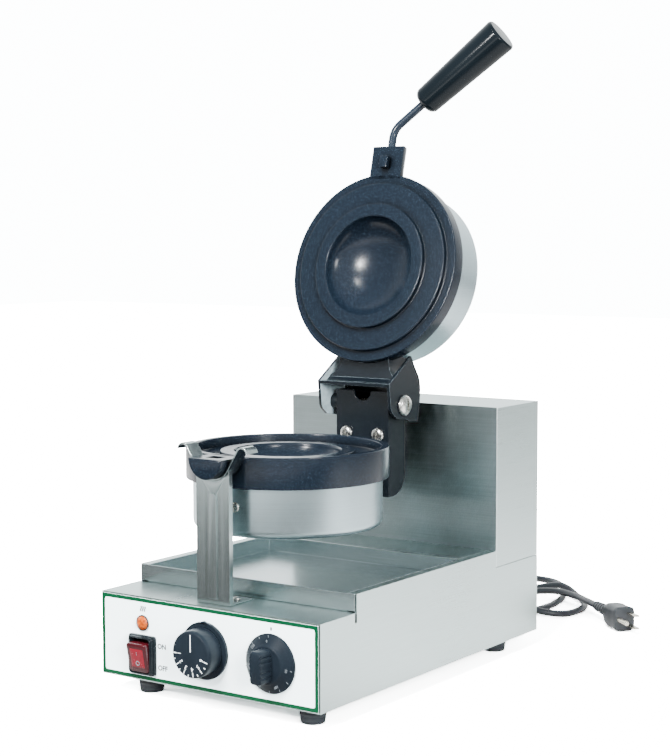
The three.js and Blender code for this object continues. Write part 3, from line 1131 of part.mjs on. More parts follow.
function powerCord() {
  const start = new THREE.Vector3(OUTLET_X, rearPanelFront - CORD_ENTRY, OUTLET_Z);
  const exit = new THREE.Vector3(OUTLET_X, flangeBack + GLAND_TAPER_LENGTH, OUTLET_Z);
  const plug = new THREE.Vector3(...PLUG_PLACE);
  const end = plug.clone().addScaledVector(plugLine, PLUG_CORD_SEAT);
  const free = CORD_POINTS.map((point) => new THREE.Vector3(...point));
  const path = new THREE.CatmullRomCurve3([start, exit, ...free, plug, end]);
  path.arcLengthDivisions = CORD_SAMPLES;
  const section = circle(CORD_DIAMETER / 2, CORD_SIDES);
  return solid(new THREE.ExtrudeGeometry(section, { steps: CORD_STEPS, extrudePath: path }));
}
machine.add(piece('power_cord', powerCord(), BLACK_RUBBER));

// Plug: a ribbed sleeve, a moulded body, two flat blades and a round ground pin.
const PLUG_SLEEVE_LENGTH = 28;
const PLUG_SLEEVE_START = 4.9;
const PLUG_SLEEVE_END = 6.6;
const PLUG_SLEEVE_RIBS = 5;
const PLUG_SLEEVE_RIB_DEPTH = 0.7;
const PLUG_BODY_LENGTH = 38;
const PLUG_BODY_WIDTH = 23;
const PLUG_BODY_HEIGHT = 26;
const PLUG_BODY_EDGE = 5;
const BLADE_WIDTH = 6.3;
const BLADE_THICKNESS = 1.5;
const BLADE_LENGTH = 17;
const BLADE_SPREAD = 6.35;
const BLADE_OFFSET = 5;
const BLADE_SEAT = 8;
const GROUND_OFFSET = -6.9;
const GROUND_RADIUS = 2.4;
const GROUND_LENGTH = 19;
const plug = new THREE.Group();
plug.position.set(...PLUG_PLACE);
plug.rotation.z = plugTurn;
machine.add(plug);

function plugSleeve() {
  const outside = [];
  for (let i = 0; i < 2 * PLUG_SLEEVE_RIBS; i += 1) {
    const share = i / (2 * PLUG_SLEEVE_RIBS);
    const radius = PLUG_SLEEVE_START + (PLUG_SLEEVE_END - PLUG_SLEEVE_START) * share;
    outside.push([radius - (i % 2) * PLUG_SLEEVE_RIB_DEPTH, PLUG_SLEEVE_LENGTH * share]);
  }
  outside.push([PLUG_SLEEVE_END, PLUG_SLEEVE_LENGTH]);
  return turned(outside, 'latheX', [0, 0, 0], SMALL_SIDES)
    .subtract(round(boreRadius, -OVERRUN, PLUG_CORD_SEAT + FIT_GAP, 'latheX', [0, 0, 0], SMALL_SIDES));
}
plug.add(piece('plug_sleeve', plugSleeve(), BLACK_RUBBER));
const plugBodyStart = PLUG_SLEEVE_LENGTH + FIT_GAP;
const plugFace = plugBodyStart + PLUG_BODY_LENGTH;

function plugBody() {
  const half = PLUG_BODY_WIDTH / 2;
  const outline = [
    [plugBodyStart, PLUG_BODY_EDGE - half], [plugBodyStart + PLUG_BODY_EDGE, -half], [plugFace, -half],
    [plugFace, half], [plugBodyStart + PLUG_BODY_EDGE, half], [plugBodyStart, half - PLUG_BODY_EDGE],
  ];
  const bladeSlot = (side) => block(plugFace - BLADE_SEAT - FIT_GAP, plugFace + OVERRUN,
    BLADE_OFFSET - BLADE_WIDTH / 2 - FIT_GAP, BLADE_OFFSET + BLADE_WIDTH / 2 + FIT_GAP,
    side * BLADE_SPREAD - BLADE_THICKNESS / 2 - FIT_GAP, side * BLADE_SPREAD + BLADE_THICKNESS / 2 + FIT_GAP);
  return alongZ(outline, -PLUG_BODY_HEIGHT / 2, PLUG_BODY_HEIGHT / 2)
    .subtract(bladeSlot(1))
    .subtract(bladeSlot(-1))
    .subtract(round(GROUND_RADIUS + FIT_GAP, plugFace - BLADE_SEAT - FIT_GAP, plugFace + OVERRUN,
      'latheX', [0, GROUND_OFFSET, 0], SMALL_SIDES));
}
plug.add(piece('plug_body', plugBody(), BLACK_RUBBER));
for (const [name, side] of [['upper', 1], ['lower', -1]]) {
  plug.add(piece(`plug_blade_${name}`, block(plugFace - BLADE_SEAT, plugFace + BLADE_LENGTH,
    BLADE_OFFSET - BLADE_WIDTH / 2, BLADE_OFFSET + BLADE_WIDTH / 2,
    side * BLADE_SPREAD - BLADE_THICKNESS / 2, side * BLADE_SPREAD + BLADE_THICKNESS / 2), BRIGHT_ZINC));
}
plug.add(piece('plug_ground_pin', round(GROUND_RADIUS, plugFace - BLADE_SEAT, plugFace + GROUND_LENGTH,
  'latheX', [0, GROUND_OFFSET, 0], SMALL_SIDES), BRIGHT_ZINC));

// The origin lies under the middle of the machine without its cord.
machine.position.y = -(baseDepth + barFront) / 2;

export default machine;
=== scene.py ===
import bpy
import bmesh
import numpy as np
from math import radians
from mathutils import Matrix, Vector


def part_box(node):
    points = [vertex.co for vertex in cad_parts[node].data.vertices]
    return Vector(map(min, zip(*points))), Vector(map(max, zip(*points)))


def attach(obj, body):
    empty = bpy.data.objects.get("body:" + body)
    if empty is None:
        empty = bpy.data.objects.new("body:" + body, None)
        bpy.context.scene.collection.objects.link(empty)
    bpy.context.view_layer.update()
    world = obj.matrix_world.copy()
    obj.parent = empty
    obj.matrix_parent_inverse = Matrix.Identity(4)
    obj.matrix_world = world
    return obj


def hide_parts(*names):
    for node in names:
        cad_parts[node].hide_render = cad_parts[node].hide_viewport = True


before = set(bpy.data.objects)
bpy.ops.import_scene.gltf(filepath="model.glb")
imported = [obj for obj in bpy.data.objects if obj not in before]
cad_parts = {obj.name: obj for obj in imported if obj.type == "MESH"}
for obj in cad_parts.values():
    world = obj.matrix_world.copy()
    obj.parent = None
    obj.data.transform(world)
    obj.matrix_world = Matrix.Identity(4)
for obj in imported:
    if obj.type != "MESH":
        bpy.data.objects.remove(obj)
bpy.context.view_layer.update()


# Camera
# A long lens a little above the moulds, looking from the front right corner,
# turned as the photograph's was.
camera_data = bpy.data.cameras.new("camera")
camera_data.lens = 82.335
camera_data.sensor_width = 36
camera_data.clip_end = 30


def placed(name, data):
    """A new object of the scene that holds the data."""
    made = bpy.data.objects.new(name, data)
    bpy.context.collection.objects.link(made)
    return made


camera = placed("camera", camera_data)
camera.location = (0.92661, -1.29996, 0.41132)
camera.rotation_euler = (radians(85.0708), radians(0.1296), radians(35.0546))
bpy.context.scene.camera = camera


# Power cord
# A seven millimetre black lead. It leaves the gland at the back, drops to the
# table and lies in loose loops, with its end in the plug's sleeve.
CORD_DIAMETER = 0.007
BASE_FRONT_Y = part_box("base_shell")[0].y
CORD_EXIT = (0.060, BASE_FRONT_Y + 0.400, 0.045)
CORD_ROUTE_MM = (
    (60, 400, 45), (60, 412, 45), (58.5, 427, 41), (53, 440, 32), (43, 449, 20), (28, 453, 9.5),
    (8, 451, 4.2), (-22, 445, 3.6), (-55, 446, 3.6), (-83, 463, 3.6), (-99, 494, 3.6), (-102, 530, 3.6),
    (-94, 570, 3.6), (-74, 607, 3.6), (-47, 633, 3.6), (-16, 640, 3.6), (12, 625, 3.6), (33, 594, 3.6),
    (48, 560, 3.6), (55, 525, 3.6), (53, 493, 3.6), (38, 468, 3.6), (8, 461, 3.6), (-24, 474, 3.6),
    (-46, 500, 3.6), (-48, 533, 3.6), (-30, 565, 3.6), (2, 583, 6), (34, 585, 12), (60, 573, 5.5),
    (80, 552, 3.6), (91, 523, 3.6), (87, 492, 3.6), (68, 475, 7), (45, 474, 12), (20, 484, 5),
    (-10, 505, 3.6), (-16, 526, 3.6), (-4, 546, 4.5), (20, 555, 9), (47, 554, 12), (76, 541, 12.2),
    (98, 523, 13), (118, 506, 13.4),
)


def smooth_route(points, per_span=14):
    """A Catmull-Rom curve: between two points it is the cubic whose slope at each is half the step
    from the point before to the point after."""
    p = np.asarray(points, float)
    p = np.vstack([2 * p[0] - p[1], p, 2 * p[-1] - p[-2]])
    t = np.linspace(0, 1, per_span, endpoint=False)[None, :, None]
    a, b, c, d = (p[i:len(p) - 3 + i][:, None, :] for i in range(4))
    curve = 0.5 * (2 * b + (c - a) * t + (2 * a - 5 * b + 4 * c - d) * t ** 2
                   + (3 * b - a - 3 * c + d) * t ** 3)
    return np.vstack([curve.reshape(-1, 3), p[-2]])


def tube_rings(route, radii, sides=16):
    """Circles square to a route. Each ring's first axis is the one before it less its part along the
    route's direction, and its second is the direction times the first."""
    route = np.asarray(route, float)
    along = np.gradient(route, axis=0)
    along /= np.linalg.norm(along, axis=1)[:, None]
    first = np.empty_like(along)
    axis = np.array([0.0, 0.0, 1.0])
    for k, direction in enumerate(along):
        axis = axis - direction * (axis @ direction)
        axis /= np.linalg.norm(axis)
        first[k] = axis
    second = np.cross(along, first)
    turn = np.linspace(0, 2 * np.pi, sides, endpoint=False)
    radii = np.broadcast_to(np.asarray(radii, float), len(route))[:, None, None]
    return (route[:, None] + radii * (np.cos(turn)[None, :, None] * first[:, None]
                                      + np.sin(turn)[None, :, None] * second[:, None]))


SAME_POINT = 1e-6


def finished(name, mesh, bm, material, crease):
    """Writes a bmesh to its mesh, in one material and smooth but for edges over crease degrees, and
    places it in the scene."""
    bm.to_mesh(mesh)
    bm.free()
    mesh.materials.clear()
    mesh.materials.append(material)
    mesh.polygons.foreach_set("use_smooth", np.ones(len(mesh.polygons), bool))
    mesh.set_sharp_from_angle(angle=radians(crease))
    return placed(name, mesh)


def skinned(name, rings, material, crease=35, closed=False):
    """Joins rings of points into one closed skin: quads from each ring to the next, and a flat lid on
    the first and last unless the rings close on themselves."""
    mesh = bpy.data.meshes.new(name)
    bm = bmesh.new()
    for stack in rings if isinstance(rings, list) else [rings]:
        n, m = stack.shape[:2]
        verts = [bm.verts.new(co) for co in stack.reshape(-1, 3)]
        k, j = np.meshgrid(np.arange(n if closed else n - 1), np.arange(m), indexing="ij")
        here, after, beside = k * m, (k + 1) % n * m, (j + 1) % m
        for quad in np.stack([here + j, here + beside, after + beside, after + j], -1).reshape(-1, 4):
            bm.faces.new([verts[i] for i in quad])
        for ring in () if closed else (verts[:m][::-1], verts[-m:]):
            if (ring[0].co - ring[m // 2].co).length > SAME_POINT:
                bm.faces.new(ring)
    bmesh.ops.remove_doubles(bm, verts=bm.verts, dist=SAME_POINT)
    bmesh.ops.recalc_face_normals(bm, faces=bm.faces)
    return finished(name, mesh, bm, material, crease)


def fill(tree, node, sockets):
    """Sets each of a node's sockets, by name or number, or joins it to the output given for it, which
    is the first one in use where a node is given."""
    for socket, given in sockets.items():
        if isinstance(given, bpy.types.Node):
            given = next(out for out in given.outputs if out.enabled)
        if isinstance(given, bpy.types.NodeSocket):
            tree.links.new(given, node.inputs[socket])
        else:
            node.inputs[socket].default_value = given


def add_node(tree, kind, sockets=None, **settings):
    """A new shader node with its settings made and then its sockets filled."""
    node = tree.nodes.new("ShaderNode" + kind)
    for setting, value in settings.items():
        setattr(node, setting, value)
    fill(tree, node, sockets or {})
    return node


def faded(tree, value, start, full, low=0, high=1, way="LINEAR"):
    """A value whose run from start to full becomes the run from low to high."""
    return add_node(tree, "MapRange", {0: value, 1: start, 2: full, 3: low, 4: high}, interpolation_type=way)


def tinted(tree, share, first, second):
    """The colour that lies a share of the way from the first to the second."""
    return add_node(tree, "Mix", {"Factor": share, 6: first, 7: second}, data_type="RGBA")


def grain_group():
    """Fine noise stretched by a scale on each axis, for brushing, moulding and cast skin, and a slow
    noise for smears. Level runs from 0 to 1 round a half."""
    group = bpy.data.node_groups.new("grain", "ShaderNodeTree")
    for way, socket, kind in (("INPUT", "Vector", "Vector"), ("INPUT", "Stretch", "Vector"),
                              ("INPUT", "Smear Scale", "Float"), ("INPUT", "Smear Share", "Float"),
                              ("OUTPUT", "Level", "Float"), ("OUTPUT", "Fine", "Float")):
        group.interface.new_socket(socket, in_out=way, socket_type="NodeSocket" + kind)
    given = group.nodes.new("NodeGroupInput").outputs
    scaled = add_node(group, "VectorMath", {0: given["Vector"], 1: given["Stretch"]}, operation="MULTIPLY")
    fine = add_node(group, "TexNoise", {"Vector": scaled, "Scale": 1, "Detail": 4})
    slow = add_node(group, "TexNoise", {"Vector": given["Vector"], "Scale": given["Smear Scale"],
                                        "Detail": 2})
    both = add_node(group, "Mix", {"Factor": given["Smear Share"], 2: fine, 3: slow})
    fill(group, group.nodes.new("NodeGroupOutput"), {"Level": both, "Fine": fine})
    return group


GRAIN = grain_group()
# The grain's level seldom leaves these two values.
GRAIN_LOW, GRAIN_HIGH = 0.36, 0.64


def node_material(name):
    """A new material with its node tree, its Principled shader and its Object coordinates."""
    made = bpy.data.materials.new(name)
    made.use_nodes = True
    tree = made.node_tree
    return made, tree, tree.nodes["Principled BSDF"], add_node(tree, "TexCoord").outputs["Object"]


def worked_finish(name, light, dark, smooth, rough, metallic=0.0, stretch=100, height=0.0,
                  smear_scale=12.0, smear_share=0.4, specular=0.5, drawn_out=0.0):
    """A Principled finish whose colour runs from dark to light, and whose roughness from smooth to
    rough, with the grain's level. The grain is stretched on each axis, or by one number on all three.
    It lifts the surface by height metres, and brushing across draws reflections out up and down."""
    made, tree, shader, place = node_material(name)
    grain = add_node(tree, "Group", {
        "Vector": place, "Stretch": stretch if isinstance(stretch, tuple) else (stretch,) * 3,
        "Smear Scale": smear_scale, "Smear Share": smear_share}, node_tree=GRAIN)
    spread = faded(tree, grain, GRAIN_LOW, GRAIN_HIGH)
    fill(tree, shader, {"Metallic": metallic, "Specular IOR Level": specular,
                        "Base Color": tinted(tree, spread, (*dark, 1), (*light, 1)),
                        "Roughness": faded(tree, spread, 0, 1, smooth, rough)})
    if drawn_out:
        fill(tree, shader, {"Anisotropic": drawn_out, "Tangent": add_node(tree, "CombineXYZ", {"Z": 1})})
    if height:
        fill(tree, shader, {"Normal": add_node(tree, "Bump", {"Distance": height, "Strength": 1,
                                                              "Height": grain.outputs["Fine"]})})
    return made


def settle(piece, body, slot, *stands_for):
    """Has a piece take the place of CAD nodes and ride on a body. The slot it is given is not used."""
    if stands_for:
        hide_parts(*stands_for)
    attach(piece, body)


CORD_BLACK = worked_finish("cord_black", (0.007, 0.009, 0.011), (0.004, 0.005, 0.007), 0.32, 0.44,
                           stretch=900, height=0.00003)
# The route is drawn in millimetres from the base's front face.
route = smooth_route(np.array(CORD_ROUTE_MM) / 1000 + (0, BASE_FRONT_Y, 0))
power_cord = skinned("cord_lead", tube_rings(route, CORD_DIAMETER / 2), CORD_BLACK)
settle(power_cord, "base", "black_rubber", "power_cord")


# Plug
# A moulded black plug with a ribbed sleeve, two flat blades one above the other
# and a round ground pin, lying on the table where the lead's last strand ends.
PLUG_PLACE = route[-1]
PLUG_SIDE, plug_direction = np.array([0.620, 0.785, 0.0]), np.array([0.785, -0.620, 0.0])
UP = np.array([0.0, 0.0, 1.0])
PLUG_PLASTIC = worked_finish("plug_plastic", (0.010, 0.012, 0.014), (0.005, 0.006, 0.008), 0.30, 0.44,
                             stretch=1500, height=0.00004)
BLADE_METAL = worked_finish("blade_nickel", (0.80, 0.76, 0.66), (0.66, 0.62, 0.52), 0.16, 0.30, metallic=1.0,
                            stretch=(300, 300, 2500), smear_scale=60)


def turned(profile, centre, axis=UP, sides=96):
    """A profile of (radius, distance along the axis) carried round the axis: each point's circle has
    its radius and lies at its distance."""
    axis = np.asarray(axis, float) / np.linalg.norm(axis)
    first = np.cross(axis, (0.0, 0.0, 1.0) if abs(axis[2]) < 0.9 else (0.0, 1.0, 0.0))
    first /= np.linalg.norm(first)
    second = np.cross(axis, first)
    turn = np.linspace(0, 2 * np.pi, sides, endpoint=False)[None, :, None]
    radius, along = np.asarray(profile, float).T[:, :, None, None]
    return np.asarray(centre, float) + along * axis + radius * (np.cos(turn) * first + np.sin(turn) * second)


def eased(points, cut, steps=4):
    """Rounds a profile's inner corners: each becomes the quadratic curve between the points that lie
    cut away from it on both sides, or less where its sides are short."""
    p = np.asarray(points, float)
    before, corner, after = p[:-2], p[1:-1], p[2:]
    to_before, to_after = before - corner, after - corner
    reach_before = np.linalg.norm(to_before, axis=1, keepdims=True)
    reach_after = np.linalg.norm(to_after, axis=1, keepdims=True)
    cut = np.minimum(np.broadcast_to(np.asarray(cut, float), (len(corner),))[:, None],
                     0.45 * np.minimum(reach_before, reach_after))
    start = corner + to_before / reach_before * cut
    end = corner + to_after / reach_after * cut
    t = np.linspace(0, 1, steps + 1)[None, :, None]
    curve = ((1 - t) ** 2 * start[:, None] + 2 * t * (1 - t) * corner[:, None] + t ** 2 * end[:, None])
    return np.vstack([p[:1], curve.reshape(-1, p.shape[1]), p[-1:]])


def eased_loop(points, cut, steps=4):
    """Rounds every corner of a closed outline in the same way as a profile's."""
    p = np.asarray(points, float)
    return eased(np.vstack([p[-1:], p, p[:1]]), cut, steps)[1:-1]


def inset(outline, distance):
    """Moves a closed outline inwards: each point goes along the mean of its two sides' inward normals,
    lengthened so that both sides move by the distance."""
    step = np.roll(outline, -1, axis=0) - outline
    step /= np.maximum(np.linalg.norm(step, axis=1, keepdims=True), 1e-9)
    area = np.sum(outline[:, 0] * np.roll(outline[:, 1], -1) - np.roll(outline[:, 0], -1) * outline[:, 1])
    normal = np.sign(area) * np.stack([-step[:, 1], step[:, 0]], 1)
    mean = normal + np.roll(normal, 1, axis=0)
    mean /= np.maximum(np.linalg.norm(mean, axis=1, keepdims=True), 1e-9)
    stretch = np.clip(np.sum(mean * normal, axis=1, keepdims=True), 0.4, 1)
    return outline + mean * distance / stretch


def at_height(outline, height):
    """A flat outline's points with a height added to each."""
    return np.column_stack([outline, np.full(len(outline), height)])


def pressed(outline, low, high, edge, place, steps=3, low_edge=None):
    """A flat outline given thickness: stations from low to high hold the outline, drawn in at both ends
    along a quarter circle of radius edge. place turns (a, b, height) into the frame."""
    outline = np.asarray(outline, float)
    arc = np.linspace(0, np.pi / 2, steps + 1)
    low_edge = edge if low_edge is None else low_edge
    stations = [(low_edge * (1 - np.sin(a)), low + low_edge * (1 - np.cos(a))) for a in arc]
    stations += [(edge * (1 - np.cos(a)), high - edge * (1 - np.sin(a))) for a in arc]
    return place(np.array([at_height(inset(outline, shrink), height) for shrink, height in stations]))


def rectangle(low_a, high_a, low_b, high_b, corner, steps=6):
    """A rectangle with round corners, as a closed outline."""
    return eased_loop([(low_a, low_b), (high_a, low_b), (high_a, high_b), (low_a, high_b)], corner, steps)


def placing(origin, *axes):
    """A function that takes points (a, b, c) to the frame: the origin and each number times its axis."""
    return lambda points: np.asarray(points, float) @ np.array(axes, float) + np.asarray(origin, float)


ALONG_X, ALONG_Y, FORWARD = (1, 0, 0), (0, 1, 0), (0, -1, 0)
# Across, up and along, from the start of the plug's sleeve.
from_the_plug = placing(PLUG_PLACE, PLUG_SIDE, UP, plug_direction / np.linalg.norm(plug_direction))
rib_share = np.linspace(0, 1, 61)
rib_wave = 0.0007 * (np.cos(rib_share * 5 * 2 * np.pi) < 0.2)
sleeve_profile = np.column_stack([0.0049 + 0.0017 * rib_share - rib_wave, 0.028 * rib_share])
sleeve_profile = np.vstack([(0.0037, 0.0), sleeve_profile, (0.0, 0.028)])
plug_sleeve = skinned("plug_sleeve_ribbed", turned(sleeve_profile, PLUG_PLACE, plug_direction, 32),
                      PLUG_PLASTIC)
PLUG_CORNER = 0.006
plug_sections = [at_height(rectangle(-across, across, -up, up, PLUG_CORNER), reach) for reach, across, up in (
    (0.0283, 0.0062, 0.0066), (0.030, 0.0075, 0.0085), (0.037, 0.0096, 0.0112), (0.045, 0.0108, 0.0122),
    (0.052, 0.0106, 0.0119), (0.060, 0.0106, 0.0122), (0.0650, 0.0110, 0.0126), (0.0660, 0.0107, 0.0123),
    (0.0663, 0.0100, 0.0117))]
plug_body = skinned("plug_moulded_body", from_the_plug(np.array(plug_sections)), PLUG_PLASTIC, 50)
blades = []
for up in (-0.00635, 0.00635):
    blade = rectangle(0.00185, 0.00815, up - 0.00075, up + 0.00075, 0.0004, 2)
    blades.append(pressed(blade, 0.058, 0.0833, 0.0005, from_the_plug))
plug_blades = skinned("plug_flat_blades", blades, BLADE_METAL)
ground_profile = eased([(0.0024, 0.058), (0.0024, 0.0853), (0.0, 0.0853)], 0.0018)
ground_pin = skinned("plug_round_pin", turned(ground_profile, PLUG_PLACE - 0.0069 * PLUG_SIDE,
                                              plug_direction, 24), BLADE_METAL)
settle(plug_sleeve, "base", "black_rubber", "plug_sleeve")
settle(plug_body, "base", "black_rubber", "plug_body")
settle(plug_blades, "base", "bright_zinc", "plug_blade_upper", "plug_blade_lower")
settle(ground_pin, "base", "bright_zinc", "plug_ground_pin")


# Cord gland
# A rubber strain relief pressed into the rear panel, ribbed and tapering along
# the cord where it leaves.
back_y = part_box("base_shell")[1].y
GLAND_RUBBER = worked_finish("gland_rubber", (0.009, 0.010, 0.011), (0.005, 0.006, 0.006), 0.55, 0.70,
                             stretch=1200, height=0.00004)
taper_share = np.linspace(0, 1, 73)
taper_wave = 0.0006 * (np.cos(taper_share * 6 * 2 * np.pi) < 0.1) * (taper_share < 0.97)
taper = np.column_stack([0.0072 - 0.0022 * taper_share - taper_wave, 0.003 + 0.028 * taper_share])
gland_collar = [(0.0039, -0.0045), (0.008, -0.0045), (0.008, 0.0), (0.011, 0.0), (0.011, 0.003),
                (0.0072, 0.003)]
gland_profile = np.vstack([eased(gland_collar, 0.0008, 3), taper, (0.0039, 0.031)])
gland_place = (CORD_EXIT[0], back_y, CORD_EXIT[2])
gland = skinned("cord_gland_tapered", turned(gland_profile, gland_place, ALONG_Y, 40), GLAND_RUBBER,
                closed=True)
settle(gland, "base", "black_rubber", "cord_gland")


# Floor and light
# A pale table top that runs on as a backdrop. The room is bright behind the machine and
# dim in front of it, with soft boxes high in front, left and right and a small bright one.
floor_mesh = bpy.data.meshes.new("floor")
floor_mesh.from_pydata([(-6, -6, 0), (6, -6, 0), (6, 6, 0), (-6, 6, 0)], [], [(0, 1, 2, 3)])
floor = placed("floor", floor_mesh)
floor_paint, floor_tree, _, floor_place = node_material("pale_floor")
FLOOR_WHITE, BACKDROP_STRENGTH = 5.0, 15.0
FLOOR_FRONT, FLOOR_BACK = -2.0, 0.5
GLOW_START, GLOW_FULL = 0.30, 1.10
FLOOR_SHADES = ((0.00, 0.40), (0.22, 0.40), (0.34, 0.02), (0.62, 0.02), (0.84, 0.42))
floor_axes = add_node(floor_tree, "SeparateXYZ", {"Vector": floor_place})
floor_fade = faded(floor_tree, floor_axes.outputs["Y"], FLOOR_FRONT, FLOOR_BACK)
floor_ramp = add_node(floor_tree, "ValToRGB", {"Fac": floor_fade})
shades = floor_ramp.color_ramp
shades.interpolation = "EASE"
while len(shades.elements) < len(FLOOR_SHADES):
    shades.elements.new(1)
for stop, (position, shade) in zip(shades.elements, FLOOR_SHADES):
    stop.position = position
    stop.color = (shade, shade, shade, 1)
floor_seen = add_node(floor_tree, "LightPath")
floor_tint = tinted(floor_tree, floor_seen, floor_ramp, (FLOOR_WHITE, FLOOR_WHITE, FLOOR_WHITE, 1))
floor_reach = add_node(floor_tree, "VectorMath", {0: floor_place}, operation="LENGTH")
floor_far = faded(floor_tree, floor_reach, GLOW_START, GLOW_FULL, 0, BACKDROP_STRENGTH, "SMOOTHSTEP")
floor_glow = add_node(floor_tree, "Math", {0: floor_far, 1: floor_seen}, operation="MULTIPLY")
floor_both = add_node(floor_tree, "AddShader", {
    0: add_node(floor_tree, "BsdfDiffuse", {"Color": floor_tint}),
    1: add_node(floor_tree, "Emission", {"Strength": floor_glow})})
fill(floor_tree, floor_tree.nodes["Material Output"], {"Surface": floor_both})
floor_mesh.materials.append(floor_paint)
room = bpy.data.worlds.new("studio_room")
room.use_nodes = True
room_tree = room.node_tree
ROOM_DIM = 0.65
ROOM_SIDES = (((-0.60, 0.79, 0.10), 0.0, 2.2), ((0.62, -0.75, 0.23), 0.45, 0.9))
room_place = add_node(room_tree, "TexCoord").outputs["Generated"]
room_sum = ROOM_DIM
for side, start, strength in ROOM_SIDES:
    room_side = add_node(room_tree, "VectorMath", {0: room_place, 1: side}, operation="DOT_PRODUCT")
    room_fade = faded(room_tree, room_side, start, 1, 0, strength, "SMOOTHSTEP")
    room_sum = add_node(room_tree, "Math", {0: room_fade, 1: room_sum})
room_mix = add_node(room_tree, "Mix", {"Factor": add_node(room_tree, "LightPath"), 2: room_sum,
                                       3: BACKDROP_STRENGTH})
fill(room_tree, room_tree.nodes["Background"], {"Strength": room_mix, "Color": (0.94, 0.99, 1.0, 1)})
bpy.context.scene.world = room
for name, place, aim, size, power, mirrored in (
        ("high_soft_box", (0.0, -1.35, 2.30), (0, 0, 0.20), 1.0, 370, False),
        ("right_soft_box", (1.95, -1.15, 0.85), (0, 0, 0.20), 0.9, 230, False),
        ("left_soft_box", (-2.05, -0.45, 0.80), (0, 0, 0.20), 0.9, 130, False),
        ("front_flash", (-0.20, -1.98, 1.02), (0, 0.10, 0.38), 0.14, 55, True),
        ("upper_flash", (-0.25, -1.65, 1.75), (0, 0.10, 0.38), 0.12, 12, True),
        ("front_card", (1.70, -0.85, 0.72), (0, 0.10, 0.38), 0.30, 16, True)):
    lamp = bpy.data.lights.new(name, "AREA")
    lamp.size = size
    lamp.energy = power
    light = placed(name, lamp)
    aim_line = np.array(aim) - place
    turn = Vector(tuple(aim_line)).to_track_quat("-Z", "Y").to_matrix()
    light.matrix_world = Matrix.Translation(place) @ turn.to_4x4()
    light.visible_glossy = mirrored


# Base shell, bottom plate, rear shelf, column cover and rear panel
# Folded stainless sheets with brushed faces. Each has its CAD shape with its sheet
# edges broken, and the column's front is polished where the head stands before it.
# The broken edges take a lighter steel as a painted highlight.
BRUSHED = worked_finish("brushed_stainless", (0.56, 0.655, 0.65), (0.50, 0.595, 0.59), 0.27, 0.32,
                        metallic=1.0, stretch=(60, 14, 2400), smear_scale=5)
POLISHED = worked_finish("polished_stainless", (0.49, 0.565, 0.575), (0.43, 0.505, 0.51), 0.30, 0.36,
                         metallic=1.0, stretch=(14, 60, 900), smear_scale=7, smear_share=0.3, drawn_out=0.95)
# Painted highlight: a lighter steel that the broken sheet edges take so that they look lit.
SHEET_EDGE_HIGHLIGHT = worked_finish("sheet_edge_painted_highlight", (0.86, 0.93, 0.94), (0.78, 0.86, 0.87), 0.30, 0.36,
                            metallic=1.0, stretch=200)


def broken_edges(node, name, width, material, body, slot, edge_material=None):
    """A copy of a CAD node in its place, with its loose triangles merged, its flat faces made whole and
    its sharp edges rounded by width. The rounded edges may take a lighter material of their own, a
    painted highlight."""
    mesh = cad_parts[node].data.copy()
    mesh.name = name
    bm = bmesh.new()
    bm.from_mesh(mesh)
    bmesh.ops.remove_doubles(bm, verts=bm.verts, dist=SAME_POINT)
    bmesh.ops.recalc_face_normals(bm, faces=bm.faces)
    bmesh.ops.dissolve_limit(bm, angle_limit=radians(0.6), verts=bm.verts, edges=bm.edges)
    piece = finished(name, mesh, bm, material, 30)
    bevel = piece.modifiers.new("broken_edge", "BEVEL")
    bevel.width = width
    bevel.segments = 2
    bevel.limit_method = "ANGLE"
    bevel.angle_limit = radians(32)
    bevel.harden_normals = True
    if edge_material:
        mesh.materials.append(edge_material)
        bevel.material = 1
    settle(piece, body, slot, node)
    return piece


for node, width in (("base_shell", 0.0005), ("bottom_plate", 0.0003), ("rear_shelf", 0.0005),
                    ("column_cover", 0.0006), ("rear_panel", 0.0003)):
    sheet = broken_edges(node, node + "_sheet", width, BRUSHED, "base", "brushed_stainless", SHEET_EDGE_HIGHLIGHT)
    if node == "column_cover":
        sheet.data.materials.append(POLISHED)
        for face in sheet.data.polygons:
            face.material_index = 2 if face.normal.y < -0.9 else 0


# Feet
# Turned rubber bumpers with three ribs, screwed up through the bottom plate.
def middle(node):
    """The middle of a CAD node's box."""
    low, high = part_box(node)
    return (low.x + high.x) / 2, (low.y + high.y) / 2, (low.z + high.z) / 2


FOOT_RUBBER = worked_finish("foot_rubber", (0.010, 0.013, 0.016), (0.005, 0.007, 0.009), 0.55, 0.72,
                            stretch=1100, height=0.00005)
RIBS_TOP = 0.0118
for corner in ("front_left", "front_right", "back_left", "back_right"):
    centre = (*middle("foot_" + corner)[:2], 0)
    height = np.linspace(0.0006, RIBS_TOP, 49)
    swell = 0.0104 + 0.0016 * height / RIBS_TOP - 0.0006 * (np.cos(height / RIBS_TOP * 3 * 2 * np.pi) < -0.55)
    profile = np.vstack([[(0.0, 0.0), (0.0092, 0.0), (0.0102, 0.0003)], np.column_stack([swell, height]),
                         eased([(0.0121, RIBS_TOP), (0.0128, 0.0120), (0.0128, 0.0147), (0.0024, 0.0147),
                                (0.0024, 0.0196), (0.0, 0.0196)], 0.0006, 3)])
    foot = skinned("rubber_foot_" + corner, turned(profile, centre, UP, 48), FOOT_RUBBER, 50)
    settle(foot, "base", "black_rubber", "foot_" + corner)


